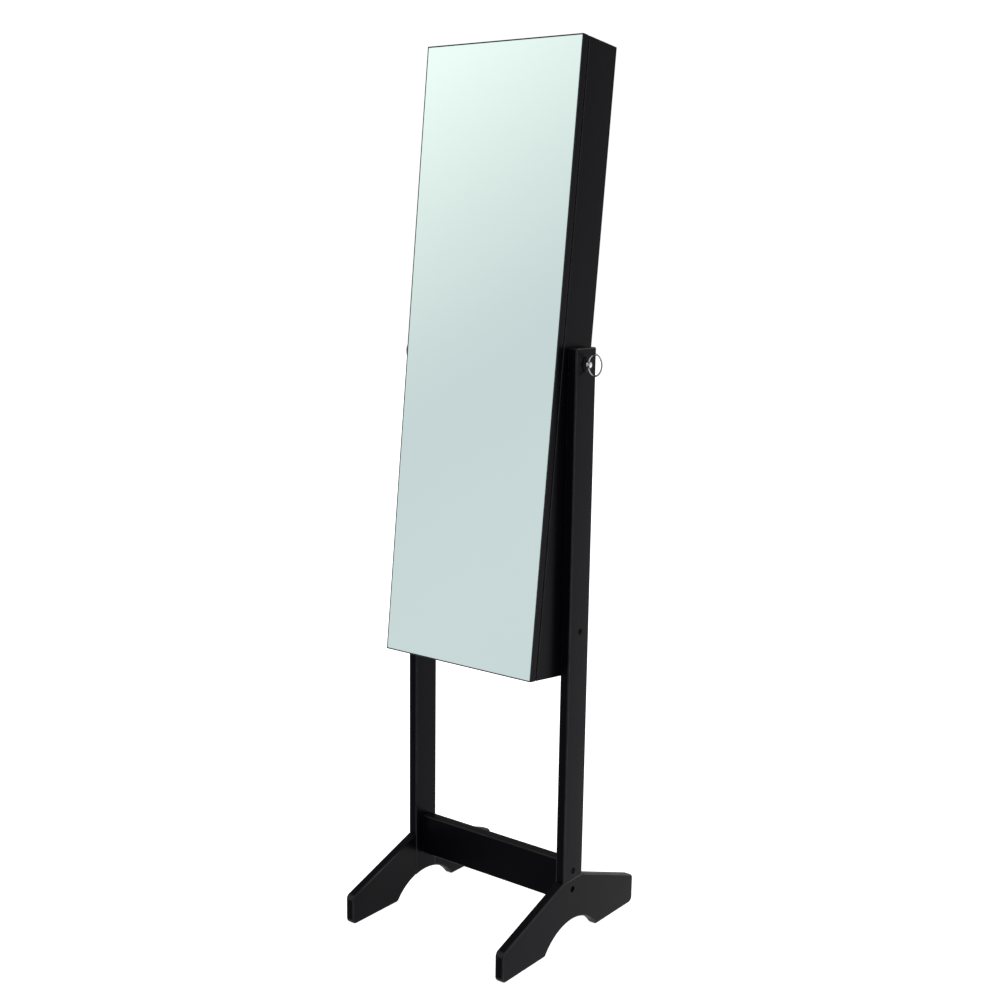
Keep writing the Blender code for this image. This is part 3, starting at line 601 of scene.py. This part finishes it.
def facing(origin, direction):
    """A placement that turns +Z to a direction."""
    return Matrix.Translation(origin) @ Vector(direction).to_track_quat("Z", "Y").to_matrix().to_4x4()


def cut_away(piece, tool):
    """Cut a tool's shape out of a piece, then discard the tool."""
    step = piece.modifiers.new("cut", "BOOLEAN")
    step.operation = "DIFFERENCE"
    step.object = tool
    settle(piece)
    bpy.data.objects.remove(tool)
    piece.data.shade_smooth()
    piece.data.set_sharp_from_angle(angle=radians(TURNED_CREASE))
    return piece


# ---------------------------------------------------------------- rows of copies
def build_row_tree():
    """Geometry nodes: copies of one thing, evenly spaced from Start to End."""
    tree = bpy.data.node_groups.new("row_of_copies", "GeometryNodeTree")
    tree.interface.new_socket("Geometry", in_out="OUTPUT", socket_type="NodeSocketGeometry")
    wanted = [("Thing", "NodeSocketObject"), ("Count", "NodeSocketInt"), ("Start", "NodeSocketVector"),
              ("End", "NodeSocketVector"), ("Turn", "NodeSocketRotation"), ("Finish", "NodeSocketMaterial")]
    for label, kind in wanted:
        tree.interface.new_socket(label, in_out="INPUT", socket_type=kind)
    given = tree.nodes.new("NodeGroupInput")
    out = tree.nodes.new("NodeGroupOutput")
    line = tree.nodes.new("GeometryNodeMeshLine")
    line.mode = "END_POINTS"
    thing = tree.nodes.new("GeometryNodeObjectInfo")
    copies = tree.nodes.new("GeometryNodeInstanceOnPoints")
    real = tree.nodes.new("GeometryNodeRealizeInstances")
    coat = tree.nodes.new("GeometryNodeSetMaterial")
    links = ((given, "Count", line, "Count"), (given, "Start", line, "Start Location"),
             (given, "End", line, "Offset"), (given, "Thing", thing, "Object"),
             (line, "Mesh", copies, "Points"), (thing, "Geometry", copies, "Instance"),
             (given, "Turn", copies, "Rotation"), (copies, "Instances", real, "Geometry"),
             (real, "Geometry", coat, "Geometry"), (given, "Finish", coat, "Material"),
             (coat, "Geometry", out, "Geometry"))
    for source, leaves, target, enters in links:
        tree.links.new(source.outputs[leaves], target.inputs[enters])
    return tree


ROW_TREE = build_row_tree()


def set_input(step, label, value):
    """Set a geometry nodes input by its name."""
    for socket in step.node_group.interface.items_tree:
        if socket.item_type == "SOCKET" and socket.in_out == "INPUT" and socket.name == label:
            step[socket.identifier] = value


def rows(name, thing, lines, finish):
    """Rows of copies of one thing, joined in one plain mesh.

    Each line is (count, first place, last place, direction that the thing's +Z turns to).
    """
    bm = bmesh.new()
    for count, start, end, direction in lines:
        row = bare_object(name, bpy.data.meshes.new(name))
        step = row.modifiers.new("row", "NODES")
        step.node_group = ROW_TREE
        turn = Vector(direction).to_track_quat("Z", "Y").to_euler()
        inputs = {"Thing": thing, "Count": count, "Start": Vector(start), "End": Vector(end), "Turn": turn,
                  "Finish": FINISH[finish]}
        for label, value in inputs.items():
            set_input(step, label, value)
        settle(row)
        bm.from_mesh(row.data)
        bpy.data.objects.remove(row)
    return smooth_object(name, bm, TURNED_CREASE)


# ---------------------------------------------------------------- lacquered boards
STAND_BOARDS = ("left_foot", "right_foot", "left_post", "right_post", "lower_rail", "upper_rail")
CABINET_BOARDS = ("left_wall", "right_wall", "cabinet_top", "cabinet_bottom", "door_panel")
INSIDE_BOARDS = ("shelf_upper", "shelf_middle", "shelf_lower", "left_pivot_block", "right_pivot_block")


def butt_ends(board, reach=0.00025):
    """Lengthen a board a hair at both ends, so that its joints are tight."""
    end = max(vert.co.x for vert in board.data.vertices)
    for vert in board.data.vertices:
        if abs(vert.co.x) > 0.98 * end:
            vert.co.x += reach if vert.co.x > 0 else -reach


def make_boards():
    """The black stand and cabinet, the inside boards and the back."""
    for node in STAND_BOARDS + CABINET_BOARDS:
        dressed(node, "black_lacquer")
    for node in ("cabinet_top", "cabinet_bottom"):
        butt_ends(bpy.data.objects[f"{node}_finished"])
    for node in INSIDE_BOARDS:
        dressed(node, "inside_lacquer")
    dressed("back_panel", "hardboard")


def make_small_hardware():
    """CAD shapes that only need their real finish."""
    for word in ("upper", "middle", "lower"):
        dressed(f"{word}_hinge_frame_leaf", "zinc_steel", 30)
        dressed(f"{word}_hinge_door_leaf", "zinc_steel", 30)
        dressed(f"{word}_hinge_pin", "zinc_steel", 30)
    for word in ("upper", "lower"):
        dressed(f"{word}_magnet", "black_plastic")
        dressed(f"{word}_strike", "zinc_steel")
        dressed(f"earring_bar_{word}", "black_plastic")
    for side in ("left", "right"):
        dressed(f"{side}_spacer", "nylon", 30)
        dressed(f"{side}_insert", "brass", 30)


# ---------------------------------------------------------------- mirror
GLASS_ARRIS = 0.0006


def make_mirror():
    """A silvered plate with ground edges, let into the door."""
    low, high = own_box("mirror_glass")
    bm = block(high - low)
    bmesh.ops.translate(bm, vec=(low + high) / 2, verts=bm.verts)
    bmesh.ops.bevel(bm, geom=bm.edges[:], offset=GLASS_ARRIS, segments=2, affect="EDGES", profile=0.5)
    plate = as_mesh("mirror_plate", bm, CABINET)
    front = CABINET.to_3x3() @ -Y
    for face in plate.data.polygons:
        face.material_index = 0 if face.normal.dot(front) > 0.999 else 1
    weighting = plate.modifiers.new("flat faces stay flat", "WEIGHTED_NORMAL")
    weighting.keep_sharp = True
    settle(plate)
    indices = [f.material_index for f in plate.data.polygons]
    plate.data.materials.clear()
    for finish in ("silvered_glass", "glass_edge"):
        plate.data.materials.append(FINISH[finish])
    for face, index in zip(plate.data.polygons, indices):
        face.material_index = index
    finish_piece(plate, None, "door", ["mirror_glass"])


# ---------------------------------------------------------------- connector bolts
SIDES = {"left": -1, "right": 1}
BOLT_LEVELS = ("lower", "middle", "upper")
BOLT_R = 0.003
SOCKET_R = 0.0024
SOCKET_DEPTH = 0.0026
BOLT_HEAD_THICK = 0.0042
THREAD_PITCH, THREAD_DEPTH = 0.001, 0.0004
THREAD_FROM = 0.45                 # the share of the bolt that is plain shank
NUT_SLOT = (0.0012, 0.0024)        # width, and twice the depth


def turned_piece(name, profile, sides):
    """A turned solid as an object."""
    return as_mesh(name, turned(profile, sides), crease=TURNED_CREASE)


def hex_socket(head, radius, depth):
    """Cut a hexagon socket in the end of a bolt that starts at the origin and runs along +Z."""
    bm = bmesh.new()
    bmesh.ops.create_cone(bm, cap_ends=True, segments=6, radius1=radius, radius2=radius, depth=2 * depth)
    return cut_away(head, as_mesh("socket_cutter", bm))


def bolt_thing(length, head_r, head_thick):
    """A socket-head bolt along +Z: rounded head first, threaded for its last part."""
    edge, pitch, thread_from = 0.0005, THREAD_PITCH, length * THREAD_FROM
    profile = [(0.0, head_r - 2 * edge), (edge * 0.3, head_r - edge), (edge, head_r - edge * 0.3),
               (2 * edge, head_r), (head_thick - edge, head_r), (head_thick, head_r - edge),
               (head_thick, BOLT_R), (thread_from, BOLT_R)]
    turns = int((length - thread_from) / pitch) - 1
    for i in range(turns):
        start = thread_from + i * pitch
        profile += [(start + pitch * 0.5, BOLT_R - THREAD_DEPTH), (start + pitch, BOLT_R)]
    profile.append((length, BOLT_R - edge))
    return hex_socket(turned_piece("connector_bolt", profile, 24), SOCKET_R, SOCKET_DEPTH)


def nut_thing(radius, length):
    """A barrel nut along +Z with a screwdriver slot in its end."""
    edge = 0.0004
    profile = [(0, radius - edge), (edge, radius), (length - edge, radius), (length, radius - edge)]
    nut = turned_piece("barrel_nut", profile, 32)
    return cut_away(nut, as_mesh("slot_cutter", block((2.4 * radius, *NUT_SLOT))))


def make_bolts():
    """Every connector bolt in one piece, and every barrel nut in another."""
    sample_low, sample_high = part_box("right_lower_bolt")
    head_r = (sample_high[2] - sample_low[2]) / 2
    bolt = bolt_thing(sample_high[0] - sample_low[0], head_r, BOLT_HEAD_THICK)
    nut_low, nut_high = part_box("right_lower_barrel_nut")
    nut = nut_thing((nut_high[2] - nut_low[2]) / 2, nut_high[1] - nut_low[1])
    bolt_lines, nut_lines = [], []
    for word, side in SIDES.items():
        for level in BOLT_LEVELS:
            low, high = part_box(f"{word}_{level}_bolt")
            centre = (Vector(low) + Vector(high)) / 2
            head = Vector((high[0] if side > 0 else low[0], centre.y, centre.z))
            bolt_lines.append((1, head, head, -side * X))
            low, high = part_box(f"{word}_{level}_barrel_nut")
            centre = (Vector(low) + Vector(high)) / 2
            rear = Vector((centre.x, high[1], centre.z))
            nut_lines.append((1, rear, rear, -Y))
    bolts = rows("connector_bolts", bolt, bolt_lines, "blackened")
    finish_piece(bolts, "blackened", "stand",
                 [f"{word}_{level}_bolt" for word in SIDES for level in BOLT_LEVELS])
    nuts = rows("barrel_nuts", nut, nut_lines, "zinc_steel")
    finish_piece(nuts, "zinc_steel", "stand",
                 [f"{word}_{level}_barrel_nut" for word in SIDES for level in BOLT_LEVELS])
    for thing in (bolt, nut):
        bpy.data.objects.remove(thing)


# ---------------------------------------------------------------- ring bolts
RING_REACH = 0.0159            # ring centre beyond the post's outer face
RING_HALF_WIDTH = 0.0128
RING_HALF_HEIGHT = 0.0167
RING_WIRE = 0.0015
BOSS_R = 0.0046
BOSS_REACH = 0.0080
WASHER_R = 0.0115
WASHER_THICK = 0.0016


def add_oval_ring(bm, centre, sides=96, wire_sides=20):
    """An upright oval of round wire about a centre, standing in the XZ plane."""
    loops = []
    for i in range(sides):
        a = 2 * pi * i / sides
        spine = Vector((RING_HALF_WIDTH * cos(a), 0, RING_HALF_HEIGHT * sin(a)))
        out = Vector((RING_HALF_HEIGHT * cos(a), 0, RING_HALF_WIDTH * sin(a))).normalized()
        loops.append([bm.verts.new(centre + spine + (out * cos(b) + Y * sin(b)) * RING_WIRE)
                      for b in (2 * pi * j / wire_sides for j in range(wire_sides))])
    for here, there in zip(loops, loops[1:] + loops[:1]):
        for j in range(wire_sides):
            k = (j + 1) % wire_sides
            bm.faces.new((here[j], here[k], there[k], there[j]))


def make_ring_bolt(word, side):
    """A plated screw with a stiff pull ring through its boss, over a black washer."""
    low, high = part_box(f"{word}_post")
    face = Vector((high[0] if side > 0 else low[0], 0, PIVOT.z))
    node_low, node_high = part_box(f"{word}_ring_bolt")
    tip = face.x - node_low[0] if side > 0 else node_high[0] - face.x
    edge, neck = 0.0006, 0.0005
    profile = [(-tip, BOLT_R - edge), (-tip + edge, BOLT_R), (0.0, BOLT_R), (WASHER_THICK, BOLT_R),
               (WASHER_THICK, BOSS_R), (WASHER_THICK + 0.0007, BOSS_R + neck),
               (WASHER_THICK + 0.0014, BOSS_R + neck), (WASHER_THICK + 0.0021, BOSS_R),
               (BOSS_REACH - 2 * edge, BOSS_R), (BOSS_REACH - edge * 0.7, BOSS_R - edge * 0.4),
               (BOSS_REACH, BOSS_R - edge * 1.6)]
    place = facing(face, side * X)
    bm = turned(profile, 64)
    bmesh.ops.transform(bm, matrix=place, verts=bm.verts)
    add_oval_ring(bm, face + side * RING_REACH * X)
    screw = as_mesh(f"{word}_pull_ring_screw", bm, crease=TURNED_CREASE)
    finish_piece(screw, "chrome", f"{word}_ring_bolt", [f"{word}_ring_bolt"])
    gap, soft = 0.0003, 0.0005
    washer = [(gap, BOLT_R), (gap, WASHER_R), (WASHER_THICK - soft, WASHER_R),
              (WASHER_THICK, WASHER_R - soft), (WASHER_THICK, BOLT_R)]
    bm = turned(washer, 64, hollow=True)
    piece = as_mesh(f"{word}_washer", bm, place)
    finish_piece(piece, "nylon", f"{word}_ring_bolt")


# ---------------------------------------------------------------- screws
def screw_thing(radius, height):
    """A countersunk cross-head screw's visible top, along +Z from its seat."""
    profile = [(-0.0012, radius * 0.5), (0.0, radius), (height * 0.6, radius * 0.92),
               (height, radius * 0.6)]
    head = turned_piece("screw_head", profile, 24)
    for turn in (0, pi / 2):
        bm = block((radius * 1.25, radius * 0.26, radius * 0.9))
        bmesh.ops.rotate(bm, matrix=Matrix.Rotation(turn, 3, "Z"), verts=bm.verts)
        bmesh.ops.translate(bm, vec=Z * height, verts=bm.verts)
        cut_away(head, as_mesh("cross_cutter", bm))
    return head


def inside(x, y, z):
    """A place given in the cabinet's own axes."""
    return CABINET @ Vector((x, y, z))


HINGE_SCREW_R, HINGE_SCREW_PROUD = 0.0021, 0.00015
SCREW_FROM_EDGE, SCREW_FROM_END = 0.0050, 0.008
PIN_R = 0.0024
PIN_FROM_EDGE = 0.009
PINS_UP, PINS_ACROSS = 11, 3


def make_hinge_screws():
    """Three screws in each hinge leaf, on the body that carries the leaf."""
    screw = screw_thing(HINGE_SCREW_R, HINGE_SCREW_PROUD)
    front, back = CABINET.to_3x3() @ -Y, CABINET.to_3x3() @ Y
    for body, leaf, side, out in (("cabinet", "frame", 0, front), ("door", "door", 1, back)):
        lines = []
        for word in ("upper", "middle", "lower"):
            low, high = own_box(f"{word}_hinge_{leaf}_leaf")
            x, y = high.x - SCREW_FROM_EDGE, (low.y, high.y)[side]
            ends = [inside(x, y, z) for z in (low.z + SCREW_FROM_END, high.z - SCREW_FROM_END)]
            lines.append((3, *ends, out))
        piece = rows(f"{leaf}_leaf_screws", screw, lines, "zinc_steel")
        finish_piece(piece, "zinc_steel", body)
    bpy.data.objects.remove(screw)


def make_back_fixings():
    """Round-headed pins along the rim of the back panel."""
    low, high = own_box("back_panel")
    profile = [(-0.0006, PIN_R), (0.0, PIN_R), (0.0004, PIN_R * 0.86), (0.0007, PIN_R * 0.5),
               (0.0008, PIN_R * 0.1)]
    pin = turned_piece("panel_pin", profile, 20)
    out = CABINET.to_3x3() @ Y
    rim, rear = PIN_FROM_EDGE, high.y
    left, right = low.x + rim, high.x - rim
    bottom, top = low.z + rim, high.z - rim
    lines = [(PINS_UP, inside(x, rear, bottom), inside(x, rear, top), out) for x in (left, right)]
    across = (right - left) / (PINS_ACROSS + 1)
    for z in (bottom, top):
        lines.append((PINS_ACROSS, inside(left + across, rear, z), inside(right - across, rear, z), out))
    piece = rows("back_panel_pins", pin, lines, "zinc_steel")
    finish_piece(piece, "zinc_steel", "cabinet")
    bpy.data.objects.remove(pin)


# ---------------------------------------------------------------- necklace hooks
HOOKS = 7
HOOK_PITCH = 0.036
HOOK_REACH = 0.0196
HOOK_WIRE = 0.0013
HOOK_BEND, HOOK_TIP = 0.0055, 0.0035
HOOK_BALL = HOOK_WIRE * 1.75
HOOK_FOOT = {"radius1": 0.0030, "radius2": 0.0022, "depth": 0.0012}
STRIP_HEIGHT, STRIP_THICK, STRIP_CORNER = 0.020, 0.002, 0.004
BRACELET_ROD_R = 0.0040


def wire(name, points, radius, sides=12):
    """Round wire along a smooth path, with closed ends."""
    path = bpy.data.curves.new(name, "CURVE")
    path.dimensions = "3D"
    path.bevel_depth = radius
    path.bevel_resolution = sides // 4
    path.use_fill_caps = True
    spline = path.splines.new("POLY")
    spline.points.add(len(points) - 1)
    for point, spot in zip(spline.points, points):
        point.co = (*spot, 1)
    shape = bpy.data.objects.new(name, path)
    bpy.context.scene.collection.objects.link(shape)
    mesh = bpy.data.meshes.new_from_object(shape.evaluated_get(bpy.context.evaluated_depsgraph_get()))
    bpy.data.objects.remove(shape)
    bm = bmesh.new()
    bm.from_mesh(mesh)
    bmesh.ops.remove_doubles(bm, verts=bm.verts, dist=MERGE)
    return as_mesh(name, bm, crease=60)


def hook_thing():
    """A J of wire out along +Z and up along +Y, ending in a ball."""
    bend, foot = HOOK_BEND, HOOK_FOOT["depth"]
    straight = HOOK_REACH - bend - HOOK_WIRE - foot
    path = [Vector((0, 0, 0)), Vector((0, 0, straight))]
    for i in range(1, 9):
        a = pi / 2 * i / 8
        path.append(Vector((0, bend * (1 - cos(a)), straight + bend * sin(a))))
    path.append(Vector((0, bend + HOOK_TIP, straight + bend)))
    hook = wire("necklace_hook", path, HOOK_WIRE)
    bm = bmesh.new()
    bm.from_mesh(hook.data)
    ball = bmesh.ops.create_uvsphere(bm, u_segments=16, v_segments=10, radius=HOOK_BALL)
    bmesh.ops.translate(bm, vec=path[-1], verts=ball["verts"])
    flange = bmesh.ops.create_cone(bm, cap_ends=True, segments=20, **HOOK_FOOT)
    bmesh.ops.translate(bm, vec=(0, 0, foot / 2), verts=flange["verts"])
    bm.to_mesh(hook.data)
    bm.free()
    return hook


def make_hook_rail():
    """A round-cornered strip with its row of hooks."""
    low, high = own_box("hook_rail")
    thick = STRIP_THICK
    middle = Vector((0, high.y - thick / 2, low.z + STRIP_HEIGHT / 2))
    bm = block((high.x - low.x, thick, STRIP_HEIGHT))
    upright = [e for e in bm.edges if abs(e.verts[0].co.y - e.verts[1].co.y) > thick / 2]
    bmesh.ops.bevel(bm, geom=upright, offset=STRIP_CORNER, segments=6, affect="EDGES", profile=0.5)
    bmesh.ops.bevel(bm, geom=[e for e in bm.edges if e.calc_face_angle(0) > 0.8], offset=0.0004, segments=2,
                    affect="EDGES", profile=0.5)
    bmesh.ops.translate(bm, vec=middle, verts=bm.verts)
    strip = as_mesh("necklace_hook_strip", bm, CABINET)
    finish_piece(strip, "chrome", "cabinet", ["hook_rail"])
    hook = hook_thing()
    reach = (HOOKS - 1) / 2 * HOOK_PITCH
    front = high.y - thick
    ends = [inside(x, front, middle.z - 0.003) for x in (-reach, reach)]
    turn = CABINET.to_3x3() @ -Y
    hooks = rows("necklace_hooks", hook, [(HOOKS, *ends, turn)], "chrome")
    finish_piece(hooks, "chrome", "cabinet")
    bpy.data.objects.remove(hook)


def make_bracelet_rod():
    """A plain bar between two round end flanges."""
    low, high = own_box("bracelet_rod")
    flange, rod = (high.z - low.z) / 2, BRACELET_ROD_R
    length = high.x - low.x
    foot, soft = 0.003, 0.0006

    def end(reach):
        return [(reach(0.0), flange), (reach(foot - soft), flange), (reach(foot), flange - soft),
                (reach(foot), rod + 0.0012), (reach(foot + 0.0012), rod)]
    profile = end(lambda z: z) + list(reversed(end(lambda z: length - z)))
    place = CABINET @ facing(Vector((low.x, (low.y + high.y) / 2, (low.z + high.z) / 2)), X)
    piece = as_mesh("bracelet_bar", turned(profile, 48), place, crease=35)
    finish_piece(piece, "chrome", "cabinet", ["bracelet_rod"])


# ---------------------------------------------------------------- soft pieces
ROLL_SWELL = 0.003                 # the cover swells by at most this
ROLL_BEFORE = Vector((0.985, 0.90, 0.90))
ROLL_VOXEL = 0.004
DOOR_PAD = {"rim": 0.0035, "pitch": 0.012, "crown": 0.0006}
BACK_VELVET = {"rim": 0.0020, "pitch": 0.012, "crown": 0.0003}


def swell(piece, frames=20, pressure=4.0):
    """Inflate a remeshed pad with Cloth and keep the shape."""
    cloth = piece.modifiers.new("stuffing", "CLOTH")
    settings = cloth.settings
    settings.quality = 6
    settings.mass = 0.2
    settings.tension_stiffness = settings.compression_stiffness = 25
    settings.bending_stiffness = 4
    settings.use_pressure = True
    settings.uniform_pressure_force = pressure
    settings.effector_weights.gravity = 0
    scene = bpy.context.scene
    scene.frame_start, scene.frame_end = 1, frames
    for number in range(1, frames + 1):
        scene.frame_set(number)
        bpy.context.view_layer.update()
    settle(piece)
    scene.frame_set(1)


def make_ring_rolls():
    """Velvet-covered foam rolls, swollen with Cloth, flat where they are glued to the lining."""
    low, high = own_box("ring_roll_1")
    back = CABINET.inverted()
    bm = bmesh.new()
    bm.from_mesh(NODES["ring_roll_1"].data)
    bmesh.ops.remove_doubles(bm, verts=bm.verts, dist=MERGE)
    bmesh.ops.transform(bm, matrix=back, verts=bm.verts)
    middle = (low + high) / 2
    shrink = ROLL_BEFORE
    for vert in bm.verts:
        vert.co = Vector([middle[i] + (vert.co[i] - middle[i]) * shrink[i] for i in range(3)])
    bmesh.ops.translate(bm, vec=Y * (high.y - middle.y) * (1 - shrink.y), verts=bm.verts)
    mould = as_mesh("roll_mould", bm)
    remesh = mould.modifiers.new("even quads", "REMESH")
    remesh.mode = "VOXEL"
    remesh.voxel_size = ROLL_VOXEL
    settle(mould)
    before = [v.co.copy() for v in mould.data.vertices]
    swell(mould)
    for vert, start in zip(mould.data.vertices, before):
        move = vert.co - start
        if move.length > ROLL_SWELL:
            vert.co = start + move.normalized() * ROLL_SWELL
    for vert in mould.data.vertices:
        vert.co = Vector([min(max(vert.co[i], low[i]), high[i]) for i in range(3)])
    finer = mould.modifiers.new("smooth cover", "SUBSURF")
    finer.levels = finer.render_levels = 1
    settle(mould)
    for number in (1, 2, 3):
        node = f"ring_roll_{number}"
        node_low, node_high = own_box(node)
        bm = bmesh.new()
        bm.from_mesh(mould.data)
        bmesh.ops.translate(bm, vec=node_low - low, verts=bm.verts)
        roll = as_mesh(f"velvet_ring_roll_{number}", bm, CABINET, crease=80)
        finish_piece(roll, "black_velvet", "cabinet", [node])
    bpy.data.objects.remove(mould)


def pad_grid(low, high, rim, pitch, crown):
    """A thin upholstered panel facing -Y: flat back, softly crowned front with a rounded rim."""
    bm = bmesh.new()
    across = max(2, ceil((high.x - low.x) / pitch))
    tall = max(2, ceil((high.z - low.z) / pitch))

    def spaced(start, end, count):
        inner = [start + rim + (end - start - 2 * rim) * i / count for i in range(count + 1)]
        steps = [0.0, rim * 0.15, rim * 0.5]
        return [start + step for step in steps] + inner + [end - step for step in reversed(steps)]
    xs, zs = spaced(low.x, high.x, across), spaced(low.z, high.z, tall)

    def depth(x, z):
        edge = min(x - low.x, high.x - x, z - low.z, high.z - z)
        fall = min(1.0, edge / rim)
        round_off = (1 - (1 - fall) ** 2) ** 0.5
        puff = sin(pi * (x - low.x) / (high.x - low.x)) ** 0.5 * crown
        ripple = 0.5 + 0.5 * sin(41 * x + 3 * sin(17 * z)) * sin(23 * z + 2 * sin(29 * x))
        thick = high.y - low.y - crown
        return high.y - thick * (0.25 + 0.75 * round_off) - puff * (0.7 + 0.3 * ripple) * round_off
    front = [[bm.verts.new((x, depth(x, z), z)) for x in xs] for z in zs]
    back = [[bm.verts.new((x, high.y, z)) for x in xs] for z in zs]
    for grid in (front, back):
        for lower, upper in zip(grid, grid[1:]):
            for i in range(len(xs) - 1):
                bm.faces.new((lower[i], lower[i + 1], upper[i + 1], upper[i]))
    rims = [(front[0], back[0]), (front[-1], back[-1]),
            ([row[0] for row in front], [row[0] for row in back]),
            ([row[-1] for row in front], [row[-1] for row in back])]
    for near, far in rims:
        for i in range(len(near) - 1):
            bm.faces.new((near[i], near[i + 1], far[i + 1], far[i]))
    return bm


def make_linings():
    """The padded panel on the door's inside, and the velvet glued over the cabinet's back."""
    low, high = own_box("door_lining")
    panel = as_mesh("door_velvet_pad", pad_grid(low, high, **DOOR_PAD), CABINET, crease=70)
    finish_piece(panel, "black_velvet", "door", ["door_lining"])
    low, high = own_box("back_lining")
    cloth = as_mesh("back_velvet", pad_grid(low, high, **BACK_VELVET), CABINET, crease=70)
    finish_piece(cloth, "black_velvet", "cabinet", ["back_lining"])


# ---------------------------------------------------------------- assembly
make_camera()
make_studio()
make_boards()
make_small_hardware()
make_mirror()
make_bolts()
for word, side in SIDES.items():
    make_ring_bolt(word, side)
make_hinge_screws()
make_back_fixings()
make_hook_rail()
make_bracelet_rod()
make_ring_rolls()
make_linings()
